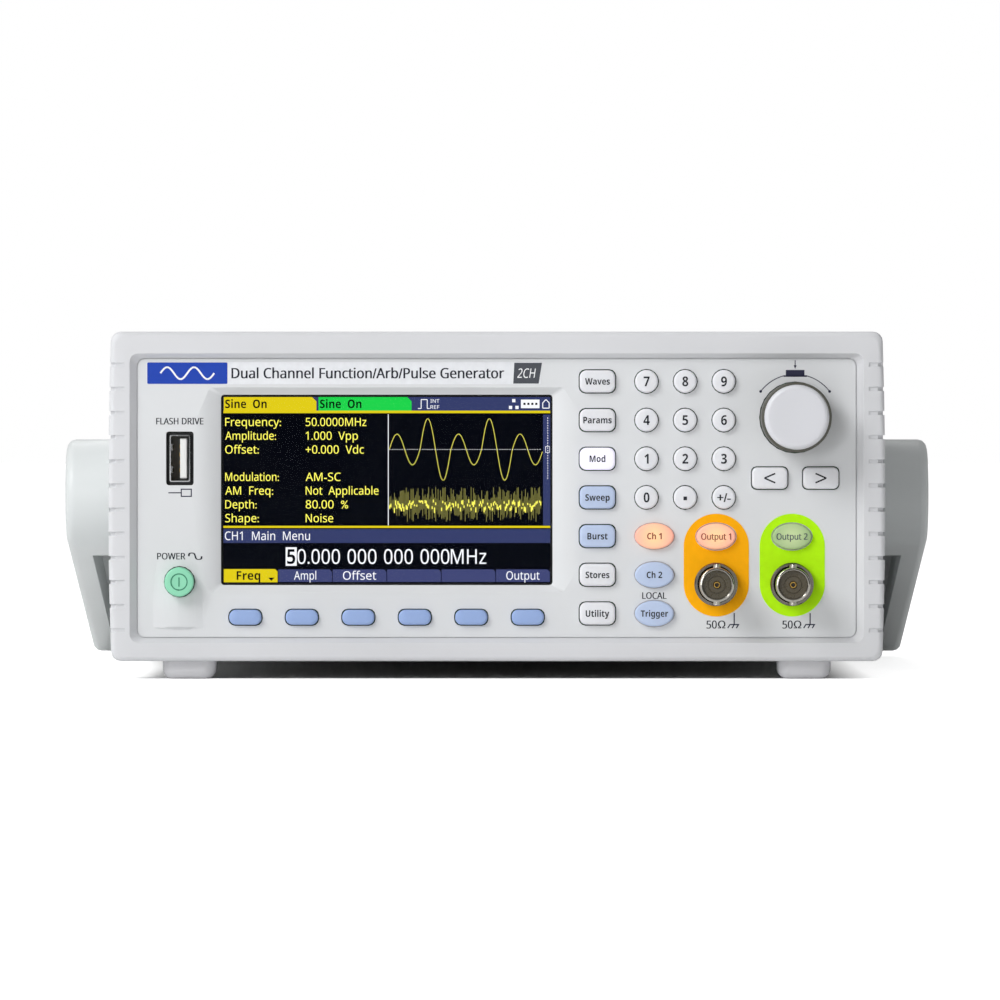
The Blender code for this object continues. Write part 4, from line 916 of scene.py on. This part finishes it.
# %% Overlay films
def sheet_with_holes(name, outlines, front, thickness, finish):
    curve = bpy.data.curves.new(name, "CURVE")
    curve.dimensions = "2D"
    curve.fill_mode = "BOTH"
    curve.extrude = thickness / 2
    for outline in outlines:
        spline = curve.splines.new("POLY")
        spline.points.add(len(outline) - 1)
        spline.use_cyclic_u = True
        for point, (u, v) in zip(spline.points, outline):
            point.co = (u, v, 0.0, 1.0)
    flat = bpy.data.objects.new(name, curve)
    bpy.context.scene.collection.objects.link(flat)
    graph = bpy.context.evaluated_depsgraph_get()
    mesh = bpy.data.meshes.new_from_object(flat.evaluated_get(graph))
    bpy.data.objects.remove(flat, do_unlink=True)
    bm = bmesh.new()
    bm.from_mesh(mesh)
    bmesh.ops.rotate(bm, verts=bm.verts, matrix=Matrix.Rotation(math.pi / 2, 3, "X"))
    bmesh.ops.translate(bm, verts=bm.verts, vec=(0.0, front + thickness / 2, 0.0))
    bmesh.ops.remove_doubles(bm, verts=bm.verts, dist=0.001 * MM)
    bpy.data.meshes.remove(mesh)
    return keep(bm, name, finish, "root")


def shifted(outline, x, z):
    return [(x + u, z + v) for u, v in outline]


# %% [markdown]
# A black gap would show all around the panel and around the oval keys. On the real instrument the
# bezel has a ledge behind the first, and the key mat's skirt stands in the second, so both gaps
# look grey. Each is one thin ring, set a little below the panel's face.

# %% Ledge and key skirts
panel_low, panel_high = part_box("front_panel")
LEDGE_DROP = 0.35 * MM
RING_THICKNESS = 0.4 * MM
panel_x, panel_z = (panel_low.x + panel_high.x) / 2, (panel_low.z + panel_high.z) / 2
panel_size = (panel_high.x - panel_low.x, panel_high.z - panel_low.z)
ledge = []
for extra in (0.5 * MM, 0.02 * MM):
    outline = rounded_rect(panel_size[0] + extra, panel_size[1] + extra, 2.0 * MM + extra / 2, 6)
    ledge.append(shifted(outline, panel_x, panel_z))
sheet_with_holes("panel_ledge", ledge, PANEL_FACE + LEDGE_DROP, RING_THICKNESS, CASE_ABS)
for node, _finish, _text, _colour in OVAL_KEYS:
    low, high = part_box(node)
    centre = middle(node)
    rings = []
    for extra in (0.58 * MM, 0.05 * MM):
        wide = high.x - low.x - 2 * KEY_FLANGE + extra
        tall = high.z - low.z - 2 * KEY_FLANGE + extra
        rings.append(shifted(ellipse(wide, tall), centre.x, centre.z))
    sheet_with_holes(f"{node}_skirt", rings, PANEL_FACE + 0.1 * MM, RING_THICKNESS, SKIRT_SILICONE)


FILM = 0.12 * MM
FILM_SIZE = (18.2 * MM, 28.7 * MM)
FILM_Z = 31.8 * MM
for number, finish in ((1, ORANGE_FILM), (2, GREEN_FILM)):
    socket = middle(f"output_socket_{number}")
    key_centre = middle(f"key_output_{number}")
    low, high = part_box(f"key_output_{number}")
    key_width = high.x - low.x - 2 * KEY_FLANGE + 0.7 * MM
    key_height = high.z - low.z - 2 * KEY_FLANGE + 0.7 * MM
    stadium = rounded_rect(*FILM_SIZE, FILM_SIZE[0] / 2 - 0.01 * MM, 24)
    outlines = [shifted(stadium, socket.x + 0.1 * MM, FILM_Z)]
    outlines.append(shifted(ellipse(key_width, key_height), key_centre.x, key_centre.z))
    outlines.append(shifted(ellipse(11.0 * MM, 11.0 * MM), socket.x, socket.z))
    sheet_with_holes(f"output_{number}_film", outlines, PANEL_FACE - FILM, FILM, finish)

# %% Panel legends
PANEL_TREE = BVHTree.FromPolygons(
    [vertex.co for vertex in nodes["front_panel"].data.vertices],
    [face.vertices for face in nodes["front_panel"].data.polygons],
)


def lay_on_panel(bm):
    """Moves flat print onto the panel's face where that swells, keeping its own thickness."""
    for vertex in bm.verts:
        start = Vector((vertex.co.x, BEZEL_FACE, vertex.co.z))
        hit = PANEL_TREE.ray_cast(start, Vector((0.0, 1.0, 0.0)), 3.0 * MM)[0]
        if hit:
            vertex.co.y += hit.y - PANEL_FACE


SMALL = 1.8 * MM
usb = middle("usb_socket")
trigger = middle("key_trigger")
bm = bmesh.new()
struck(bm, "FLASH DRIVE", usb.x, 72.0 * MM, PANEL_FACE, SMALL, 13.1 * MM)
struck(bm, "LOCAL", trigger.x, trigger.z + 5.0 * MM, PANEL_FACE, SMALL, 6.7 * MM)
for number in (1, 2):
    socket = middle(f"output_socket_{number}")
    struck(bm, "50", socket.x - 1.2 * MM, 15.2 * MM, PANEL_FACE, 2.2 * MM, 2.8 * MM)
    struck(bm, "Ω", socket.x + 1.6 * MM, 15.2 * MM, PANEL_FACE, 2.1 * MM, 2.0 * MM)
keep(bm, "panel_words", LEGEND_INK, "root")
bm = bmesh.new()
struck(bm, "POWER", -90.9 * MM, 34.3 * MM, PANEL_FACE, SMALL, 7.8 * MM)
struck(bm, "∿", -84.2 * MM, 34.3 * MM, PANEL_FACE, 2.7 * MM, 4.0 * MM, spread=0.0)
bmesh.ops.subdivide_edges(bm, edges=[e for e in bm.edges if e.calc_length() > MM], cuts=3)
lay_on_panel(bm)
keep(bm, "power_words", LEGEND_INK, "root", smooth=60.0)


def line_print(bm, first, last, stroke, y):
    """A straight printed stroke between two (x, z) points."""
    first, last = Vector(first), Vector(last)
    across = Vector((first.y - last.y, last.x - first.x)).normalized() * stroke / 2
    corners = [first + across, last + across, last - across, first - across]
    prism(bm, [(c.x, c.y) for c in corners], 0.0, 0.0, y - PRINT, y)


CHASSIS_STROKE, ARC_STROKE, PLUG_STROKE = 0.32 * MM, 0.24 * MM, 0.3 * MM
CHASSIS_Z = 15.2 * MM
ARC_RADIUS = 12.05 * MM
bm = bmesh.new()
for number in (1, 2):
    # Chassis symbol: a stem on a bar, with three slanting strokes under it.
    x = middle(f"output_socket_{number}").x + 5.1 * MM
    line_print(bm, (x, CHASSIS_Z + 3.2 * MM), (x, CHASSIS_Z), CHASSIS_STROKE, PANEL_FACE)
    line_print(bm, (x - 1.3 * MM, CHASSIS_Z), (x + 1.4 * MM, CHASSIS_Z), CHASSIS_STROKE, PANEL_FACE)
    for index in (-1, 0, 1):
        top = x + index * 1.2 * MM
        line_print(bm, (top, CHASSIS_Z), (top - 0.6 * MM, CHASSIS_Z - MM), CHASSIS_STROKE, PANEL_FACE)
# Turn and push symbols above the knob.
kx, kz = knob_centre.x, knob_centre.z
for first, last, end in ((105.0, 143.0, 143.0), (37.0, 75.0, 37.0)):
    ring_print(bm, kx, kz, PANEL_FACE, ARC_RADIUS, ARC_STROKE, first, last, 20)
    turn = math.radians(end)
    tip = (kx + ARC_RADIUS * math.cos(turn), kz + ARC_RADIUS * math.sin(turn))
    print_patch(bm, ellipse(0.8 * MM, 0.8 * MM, 16), *tip)
line_print(bm, (kx, 89.0 * MM), (kx, 87.3 * MM), ARC_STROKE, PANEL_FACE)
print_patch(bm, [(-0.4 * MM, 1.0 * MM), (0.0, 0.0), (0.4 * MM, 1.0 * MM)], kx, 86.6 * MM)
print_patch(bm, rounded_rect(5.2 * MM, 1.6 * MM, 0.05 * MM, 1), kx, 85.5 * MM)
print_patch(bm, rounded_rect(6.5 * MM, 0.45 * MM, 0.05 * MM, 1), kx, 84.6 * MM)
# Plug pictogram under the host socket: a plug with its contact and a lead.
px, pz = usb.x, 52.0 * MM
line_print(bm, (px - 3.2 * MM, pz), (px + 0.4 * MM, pz), PLUG_STROKE, PANEL_FACE)
for up in (-1, 1):
    line_print(bm, (px + 0.4 * MM, pz + up * MM), (px + 3.2 * MM, pz + up * MM), PLUG_STROKE, PANEL_FACE)
for across in (0.4 * MM, 3.2 * MM):
    line_print(bm, (px + across, pz - 1.15 * MM), (px + across, pz + 1.15 * MM), PLUG_STROKE, PANEL_FACE)
keep(bm, "panel_symbols", NAVY_INK, "root")

# %% Title strip
STRIP_Z = 85.4 * MM
STRIP_LOW, STRIP_HIGH = -97.8 * MM, 12.3 * MM
strip_width = STRIP_HIGH - STRIP_LOW
strip_x = (STRIP_LOW + STRIP_HIGH) / 2
bm = bmesh.new()
print_patch(bm, rounded_rect(strip_width, 6.2 * MM, 0.4 * MM, 3), strip_x, STRIP_Z)
keep(bm, "title_strip", LABEL_FILM, "root")
bm = bmesh.new()
title = "Dual Channel Function/Arb/Pulse Generator"
struck(bm, title, -36.0 * MM, STRIP_Z, PANEL_FACE - PRINT, 2.85 * MM, 76.0 * MM, spread=0.16)
keep(bm, "title_words", LEGEND_INK, "root")
bm = bmesh.new()
block_x = STRIP_LOW + 11.4 * MM
print_patch(bm, rounded_rect(22.4 * MM, 6.0 * MM, 0.3 * MM, 2), block_x, STRIP_Z, layers=2)
keep(bm, "title_block", BLUE_INK, "root")
bm = bmesh.new()
WAVE_WIDTH, WAVE_SWING, WAVE_STEPS = 15.0 * MM, 1.7 * MM, 24
wave = []
for step in range(WAVE_STEPS + 1):
    share = step / WAVE_STEPS
    wave.append((block_x + (share - 0.5) * WAVE_WIDTH, STRIP_Z + WAVE_SWING * math.sin(share * 4 * math.pi)))
for first, last in zip(wave, wave[1:]):
    line_print(bm, first, last, 0.5 * MM, PANEL_FACE - 2 * PRINT)
keep(bm, "title_wave", WHITE_INK, "root")
bm = bmesh.new()
badge_x = STRIP_HIGH - 4.0 * MM
slant = 0.6 * MM
badge = [(-3.7 * MM, -2.9 * MM), (3.4 * MM, -2.9 * MM), (3.7 * MM + slant, 2.9 * MM), (-3.4 * MM, 2.9 * MM)]
print_patch(bm, badge, badge_x, STRIP_Z, layers=2)
keep(bm, "title_badge", GREY_INK, "root")
bm = bmesh.new()
words(bm, "2CH", badge_x, STRIP_Z, PANEL_FACE - 2 * PRINT, 2.6 * MM, width=5.2 * MM, slant=0.2)
keep(bm, "title_badge_words", WHITE_INK, "root")

# %% [markdown]
# ## Display
# The picture lies between the clear window and the display module. It is built in thin layers,
# darkest first, each a few hundredths of a millimetre nearer to the window than the last.

# %% Display layout
WINDOW_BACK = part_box("display_window")[1].y
LIT_WIDTH, LIT_HEIGHT = 91.4 * MM, 52.1 * MM
display_centre = middle("display_window")
LIT_LEFT = display_centre.x - LIT_WIDTH / 2
LIT_TOP = display_centre.z + LIT_HEIGHT / 2
LAYER = 0.02 * MM


def at(u, v):
    """Panel place of a point u across and v down the lit area, both in millimetres."""
    return LIT_LEFT + u * MM, LIT_TOP - v * MM


def layer_depth(level):
    return WINDOW_BACK + 0.26 * MM - level * 2 * LAYER


def patch(bm, left, top, right, bottom, level, cut=0.0):
    """A rectangle on the display; cut takes off its top right corner, as on a tab."""
    corners = [at(left, bottom), at(right, bottom), at(right, top + cut)]
    if cut:
        corners.append(at(right - cut, top))
    corners.append(at(left, top))
    prism(bm, corners, 0.0, 0.0, layer_depth(level) - LAYER, layer_depth(level))


def screen_words(bm, text, u, v, height, align="LEFT", width=None, level=3, bold=False):
    x, z = at(u, v)
    width = width * MM if width else None
    words(bm, text, x, z, layer_depth(level), height * MM, align, width, bold, thickness=LAYER)


# %% Display background and bars
bm = bmesh.new()
patch(bm, -1.4, -1.4, 92.8, 53.5, -1)
keep(bm, "display_mask", DISPLAY_FRAME, "root")
bm = bmesh.new()
patch(bm, 0.0, 0.0, 91.4, 52.1, 0)
keep(bm, "display_night", GLOW_NIGHT, "root")
bm = bmesh.new()
patch(bm, 0.0, 0.1, 91.4, 3.9, 1)
patch(bm, 89.4, 5.0, 91.4, 36.0, 1)
patch(bm, 0.0, 37.0, 91.4, 40.9, 1)
keep(bm, "display_bars", GLOW_SLATE, "root")
bm = bmesh.new()
TAB = 15.23
for index in range(1, 6):
    patch(bm, index * TAB + 0.1, 48.3, (index + 1) * TAB - 0.1, 51.8, 1, cut=0.7)
keep(bm, "display_soft_tabs", GLOW_TAB, "root")
bm = bmesh.new()
patch(bm, 0.1, 0.1, 26.0, 3.9, 2, cut=1.2)
patch(bm, 0.0, 3.9, 91.4, 4.6, 2)
patch(bm, 0.0, 36.1, 91.4, 36.7, 2)
patch(bm, 0.1, 48.2, TAB - 0.1, 51.9, 2, cut=0.7)
keep(bm, "display_yellow_bars", GLOW_YELLOW, "root")
bm = bmesh.new()
patch(bm, 26.6, 0.1, 52.6, 3.9, 2, cut=1.2)
keep(bm, "display_green_tab", GLOW_GREEN, "root")

# %% Display words
bm = bmesh.new()
screen_words(bm, "Sine  On", 0.5, 2.0, 2.35, width=11.6, bold=True)
screen_words(bm, "Sine  On", 27.0, 2.0, 2.35, width=11.6, bold=True)
screen_words(bm, "Freq", 3.7, 50.0, 2.4, width=6.6, bold=True)
screen_words(bm, "5", 17.8, 44.7, 4.1, width=2.3, level=5, bold=True)
pointer = [(-0.9 * MM, 0.4 * MM), (0.0, -0.5 * MM), (0.9 * MM, 0.4 * MM)]
prism(bm, pointer, *at(13.4, 51.0), layer_depth(3) - LAYER, layer_depth(3))
keep(bm, "display_dark_words", GLOW_NIGHT, "root")
bm = bmesh.new()
patch(bm, 17.4, 42.1, 20.5, 47.3, 3)
screen_words(bm, "0.000", 20.7, 44.7, 4.1, width=11.9)
for left in (34.7, 44.9, 55.1):
    screen_words(bm, "000", left, 44.7, 4.1, width=8.1)
screen_words(bm, "MHz", 63.6, 44.7, 4.1, width=9.9)
screen_words(bm, "CH1  Main  Menu", 0.4, 38.9, 2.4, width=23.8)
for index, text in ((1, "Ampl"), (2, "Offset"), (5, "Output")):
    screen_words(bm, text, index * TAB + TAB / 2, 50.0, 2.35, "CENTER", 1.55 * len(text))
patch(bm, 46.0, 4.9, 46.2, 36.0, 2)
keep(bm, "display_white_words", GLOW_WHITE, "root")
ROWS = (
    (7.05, "Frequency:", 15.6, "50.0000MHz", 17.0),
    (10.9, "Amplitude:", 14.2, "1.000  Vpp", 14.6),
    (14.75, "Offset:", 9.4, "+0.000  Vdc", 16.3),
    (22.4, "Modulation:", 15.0, "AM-SC", 9.8),
    (26.25, "AM  Freq:", 13.4, "Not  Applicable", 20.4),
    (30.1, "Depth:", 8.8, "80.00  %", 11.9),
    (33.95, "Shape:", 9.4, "Noise", 7.7),
)
bm = bmesh.new()
for v, name, name_width, value, value_width in ROWS:
    screen_words(bm, name, 0.5, v, 2.3, width=name_width)
    screen_words(bm, value, 23.0, v, 2.3, width=value_width)
keep(bm, "display_yellow_words", GLOW_LEMON, "root")


# %% Display traces
def trace(name, lines, radius, finish, level=3.5):
    """Thin lines on the display, each a run of (u, v) points."""
    curve = bpy.data.curves.new(name, "CURVE")
    curve.dimensions = "3D"
    curve.bevel_depth = radius * MM
    curve.bevel_resolution = 1
    curve.use_fill_caps = True
    for points in lines:
        spline = curve.splines.new("POLY")
        spline.points.add(len(points) - 1)
        for point, (u, v) in zip(spline.points, points):
            x, z = at(u, v)
            point.co = (x, layer_depth(level), z, 1.0)
    curve.materials.append(finish)
    piece = bpy.data.objects.new(name, curve)
    bpy.context.scene.collection.objects.link(piece)
    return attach(piece, "root")


PLOT_LEFT, PLOT_RIGHT = 46.4, 89.2
PERIOD = 8.6
CENTRE_V, SWINGS = 14.75, (4.3, 8.6)
sine = []
for step in range(240):
    u = PLOT_LEFT + (PLOT_RIGHT - PLOT_LEFT) * step / 239
    turns = (u - PLOT_LEFT) / PERIOD
    sine.append((u, CENTRE_V - SWINGS[int(turns) % 2] * math.sin(2 * math.pi * turns)))
trace("display_sine", [sine], 0.075, GLOW_LEMON)
dots = [[(PLOT_LEFT + 0.7 * i, CENTRE_V), (PLOT_LEFT + 0.7 * i + 0.3, CENTRE_V)] for i in range(61)]
dots += [[(90.7, 5.8 + 0.7 * i), (90.7, 5.8 + 0.7 * i + 0.35)] for i in range(25)]
dots += [[(90.1, 13.9), (91.2, 13.9), (91.2, 15.6), (90.1, 15.6), (90.1, 13.9)]]
trace("display_dots", dots, 0.09, GLOW_WHITE)
random.seed(7)
NOISE_V, COLUMN = 30.1, 0.33
hiss, core = [], []
for step in range(int((PLOT_RIGHT - PLOT_LEFT) / COLUMN)):
    u = PLOT_LEFT + 0.1 + step * COLUMN
    up, down = random.uniform(0.8, 4.9), random.uniform(0.8, 4.9)
    hiss.append([(u, NOISE_V - up), (u, NOISE_V + down)])
    start = random.uniform(-1.4, 1.0)
    if random.random() < 0.75:
        core.append([(u, NOISE_V + start), (u, NOISE_V + start + random.uniform(0.5, 1.6))])
trace("display_noise", hiss, 0.09, GLOW_OLIVE)
trace("display_noise_core", core, 0.14, GLOW_LEMON, level=4.5)

# %% Display icons
bm = bmesh.new()
pulse = [(54.4, 3.3), (55.3, 3.3), (55.3, 0.8), (57.0, 0.8), (57.0, 3.3), (57.7, 3.3)]
for first, last in zip(pulse, pulse[1:]):
    line_print(bm, at(*first), at(*last), 0.22 * MM, layer_depth(3))
screen_words(bm, "INT", 57.9, 1.2, 1.0, width=2.5)
screen_words(bm, "REF", 57.9, 2.9, 1.0, width=2.5)
for u, v in ((80.3, 3.0), (82.1, 3.0), (81.2, 1.1)):
    patch(bm, u - 0.45, v - 0.45, u + 0.45, v + 0.45, 3)
patch(bm, 83.2, 0.8, 88.4, 3.2, 3)
house = [(89.3, 3.2), (89.3, 1.7), (90.2, 0.8), (91.1, 1.7), (91.1, 3.2), (89.3, 3.2)]
for first, last in zip(house, house[1:]):
    line_print(bm, at(*first), at(*last), 0.25 * MM, layer_depth(3))
keep(bm, "display_icons", GLOW_WHITE, "root")
bm = bmesh.new()
for index in range(4):
    patch(bm, 83.9 + 1.1 * index, 1.7, 84.5 + 1.1 * index, 2.3, 4)
keep(bm, "display_icon_dots", GLOW_NIGHT, "root")

# %% [markdown]
# ## Host socket
# The socket is a folded tin-plated shell around a white contact tongue, in the dark mouth of a
# black housing.

# %% Host socket
bm = bmesh.new()
housing = rounded_rect(9.0 * MM, 16.4 * MM, 0.6 * MM, 4)
mouth = rounded_rect(5.9 * MM, 13.3 * MM, 0.3 * MM, 4)
rings = []
for outline, depth in ((housing, 14.8), (housing, 2.8), (mouth, 2.8), (mouth, 14.8)):
    rings.append(ring(outline, usb.x, usb.z, PANEL_FACE + depth * MM))
skin(bm, rings, closed=True)
usb_housing = keep(bm, "usb_housing", BLACK_NYLON, "root")
bm = bmesh.new()
outer = rounded_rect(5.7 * MM, 13.1 * MM, 0.5 * MM, 4)
inner = rounded_rect(5.1 * MM, 12.5 * MM, 0.3 * MM, 4)
rings = []
for outline, depth in ((outer, 12.0), (outer, 0.4), (inner, 0.3), (inner, 12.0)):
    rings.append(ring(outline, usb.x, usb.z, PANEL_FACE + depth * MM))
skin(bm, rings, closed=True)
keep(bm, "usb_shell", TIN, "root")
bm = bmesh.new()
prism(bm, inner, usb.x, usb.z, PANEL_FACE + 9.0 * MM, PANEL_FACE + 11.0 * MM)
keep(bm, "usb_back", GREY_NYLON, "root")
bm = bmesh.new()
rings = []
for inset, depth in ((0.0, 9.2), (0.0, 1.2), (0.25, 0.9)):
    outline = rounded_rect((1.9 - 2 * inset) * MM, (11.1 - 2 * inset) * MM, 0.2 * MM, 3)
    rings.append(ring(outline, usb.x + 1.0 * MM, usb.z, PANEL_FACE + depth * MM))
skin(bm, rings)
keep(bm, "usb_tongue", WHITE_NYLON, "root")
bm = bmesh.new()
for index in range(4):
    z = usb.z + (index - 1.5) * 2.2 * MM
    contact = rounded_rect(0.14 * MM, 1.1 * MM, 0.03 * MM, 1)
    prism(bm, contact, usb.x - 0.02 * MM, z, PANEL_FACE + 1.5 * MM, PANEL_FACE + 9.0 * MM)
keep(bm, "usb_contacts", GOLD, "root")
bm = bmesh.new()
for up in (-1, 1):
    # Spring fingers, pressed inwards from the shell's left wall.
    rings = []
    for across, depth in ((-2.5, 8.0), (-1.9, 3.0), (-2.3, 1.6)):
        outline = rounded_rect(0.25 * MM, 2.0 * MM, 0.08 * MM, 1)
        rings.append(ring(outline, usb.x + across * MM, usb.z + up * 3.1 * MM, PANEL_FACE + depth * MM))
    skin(bm, rings)
keep(bm, "usb_springs", TIN, "root")
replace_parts(usb_housing, "usb_socket")

# %% [markdown]
# ## Feet and screws
# Each foot is moulded rubber: straight where it meets the case, and rounded over towards the
# bench, so that it slides without catching. The screws are button heads with a hexagon socket.


# %% Feet
FOOT_CORNER = 2.6 * MM
FOOT_PLAN_CORNER = 3.4 * MM
for end in ("front", "rear"):
    for side in ("left", "right"):
        node = f"foot_{end}_{side}"
        low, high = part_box(node)
        centre = middle(node)
        rings = []
        for inset, up in reversed(rounding(FOOT_CORNER, 6)):
            width, depth = high.x - low.x - 2 * inset, high.y - low.y - 2 * inset
            outline = rounded_rect(width, depth, FOOT_PLAN_CORNER - inset, 6)
            rings.append([(centre.x + u, centre.y + v, low.z + up) for u, v in outline])
        outline = rounded_rect(high.x - low.x, high.y - low.y, FOOT_PLAN_CORNER, 6)
        rings.append([(centre.x + u, centre.y + v, 4.95 * MM) for u, v in outline])
        bm = bmesh.new()
        skin(bm, rings)
        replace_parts(keep(bm, f"{node}_pad", FOOT_RUBBER, "root"), node)


# %% Screws
def screw(name, place, outwards, radius=2.7):
    """A button head with a hexagon socket, its seat at the place given."""
    def hexagon(size):
        points = []
        for step in range(36):
            turn = 2 * math.pi * step / 36
            reach = size / math.cos(turn % (math.pi / 3) - math.pi / 6)
            points.append((reach * math.cos(turn), reach * math.sin(turn)))
        return points

    steps = [(1.0, 0.0), (1.0, 0.3), (0.93, 0.75), (0.78, 1.1), (0.56, 1.3)]
    rings = []
    for share, height in steps:
        width = 2 * share * radius * MM
        rings.append([(u, v, height * MM) for u, v in ellipse(width, width, 36)])
    for size, height in ((0.42, 1.3), (0.4, 0.4)):
        rings.append([(u, v, height * MM) for u, v in hexagon(size * radius * MM)])
    bm = bmesh.new()
    skin(bm, rings)
    turn = Vector(outwards).to_track_quat("Z", "Y").to_matrix().to_4x4()
    bmesh.ops.transform(bm, matrix=Matrix.Translation(place) @ turn, verts=bm.verts)
    keep(bm, name, SCREW_STEEL, "root")


cover_low, cover_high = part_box("case_cover")
for side, edge in (("left", cover_low.x), ("right", cover_high.x)):
    for index, y in enumerate((cover_low.y + 22.0 * MM, cover_high.y - 16.0 * MM)):
        for z in (18.0 * MM, 84.0 * MM):
            outwards = (edge / abs(edge), 0.0, 0.0)
            screw(f"side_screw_{side}_{index}_{int(z / MM)}", (edge, y, z), outwards)
for index, (x, z) in enumerate([(x, z) for x in (-94.5 * MM, 94.5 * MM) for z in (18.0 * MM, 83.0 * MM)]):
    screw(f"rear_screw_{index}", (x, REAR_FACE, z), (0.0, 1.0, 0.0))

# %% [markdown]
# ## Rear connectors
# The mains inlet is a black flanged housing with three flat pins. The rear sockets, the network
# port and the device port stand on the main board and look out through the rear panel.

# %% Mains inlet
inlet_low, inlet_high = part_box("mains_inlet")
inlet = middle("mains_inlet")
FLANGE = 2.5 * MM
CAVITY_DEPTH = 16.0 * MM
PIN_PITCH = 7.0 * MM
bm = bmesh.new()
rings = []
body = rounded_rect(27.0 * MM, 20.0 * MM, 0.8 * MM, 4)
mouth = rounded_rect(24.4 * MM, 16.6 * MM, 2.4 * MM, 4)
face = inlet_high.y
for outline, y in ((body, inlet_low.y), (body, face - FLANGE)):
    rings.append(ring(outline, inlet.x, inlet.z, y))
for inset, setback in [(0.0, FLANGE)] + rounding(0.6 * MM, 3):
    outline = rounded_rect(50.0 * MM - 2 * inset, 30.6 * MM - 2 * inset, 3.0 * MM, 4)
    rings.append(ring(outline, inlet.x, inlet.z, face - setback))
for outline, y in ((mouth, face), (mouth, face - CAVITY_DEPTH)):
    rings.append(ring(outline, inlet.x, inlet.z, y))
skin(bm, rings)
inlet_housing = keep(bm, "inlet_housing", BLACK_NYLON, "root")
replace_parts(inlet_housing, "mains_inlet")
bm = bmesh.new()
for index in (-1, 0, 1):
    x = inlet.x + index * PIN_PITCH
    z = inlet.z + (2.0 * MM if index == 0 else -2.0 * MM)
    rings = []
    for inset, y in ((0.0, face - CAVITY_DEPTH), (0.0, face - 5.8 * MM), (0.5, face - 5.0 * MM)):
        outline = rounded_rect((2.0 - inset) * MM, (4.0 - inset) * MM, 0.2 * MM, 2)
        rings.append(ring(outline, x, z, y))
    skin(bm, rings)
keep(bm, "inlet_pins", NICKEL, "root")

# %% Main board and its rear sockets
board_low, board_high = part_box("main_board")
bm = bmesh.new()
BOARD_DEPTH, BOARD_THICKNESS = 219.0 * MM, 1.6 * MM
board_x = (board_low.x + board_high.x) / 2
board_y = board_low.y + BOARD_DEPTH / 2
rings = []
for z in (board_low.z, board_low.z + BOARD_THICKNESS):
    outline = rounded_rect(board_high.x - board_low.x, BOARD_DEPTH, 2.0 * MM, 4)
    rings.append([(board_x + u, board_y + v, z) for u, v in outline])
skin(bm, rings)
board = keep(bm, "main_board_laminate", LAMINATE, "root")
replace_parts(board, "main_board")
REAR_SOCKET_X = (24.0 * MM, 44.0 * MM, 64.0 * MM, 84.0 * MM)
for index, x in enumerate(REAR_SOCKET_X):
    coaxial(f"rear_{index}", x, 30.0 * MM, REAR_FACE, 10.5, 1)


def port(name, x, z, width, height, throat, finish):
    """A shielded port: a folded box with a mouth in its rear face."""
    outer = rounded_rect(width, height, 0.4 * MM, 3)
    inner = rounded_rect(*throat, 0.3 * MM, 3)
    rings = []
    back = REAR_FACE + 0.45 * MM
    for outline, y in ((outer, back - 23.0 * MM), (outer, back), (inner, back), (inner, back - 9.0 * MM)):
        rings.append(ring(outline, x, z, y))
    bm = bmesh.new()
    skin(bm, rings)
    return keep(bm, name, finish, "root")


port("network_port", -4.0 * MM, 22.0 * MM, 15.9 * MM, 13.4 * MM, (11.8 * MM, 8.4 * MM), TIN)
port("device_port", -26.0 * MM, 21.0 * MM, 12.0 * MM, 10.8 * MM, (8.4 * MM, 7.6 * MM), TIN)

# %% Rear legends
REAR_LETTER = 2.0 * MM
bm = bmesh.new()
for x, text in zip(REAR_SOCKET_X, ("REF IN", "REF OUT", "MOD IN", "TRIG IN")):
    words(bm, text, -x, 40.0 * MM, 0.0, REAR_LETTER)
REAR_LEGENDS = (("LAN", 4.0, 32.5), ("USB", 26.0, 30.5), ("100-240V~  50/60Hz", 73.0, 26.0))
for text, x, z in REAR_LEGENDS:
    words(bm, text, x * MM, z * MM, 0.0, REAR_LETTER)
bmesh.ops.rotate(bm, verts=bm.verts, matrix=Matrix.Rotation(math.pi, 3, "Z"))
bmesh.ops.translate(bm, verts=bm.verts, vec=(0.0, REAR_FACE, 0.0))
keep(bm, "rear_words", LEGEND_INK, "root")
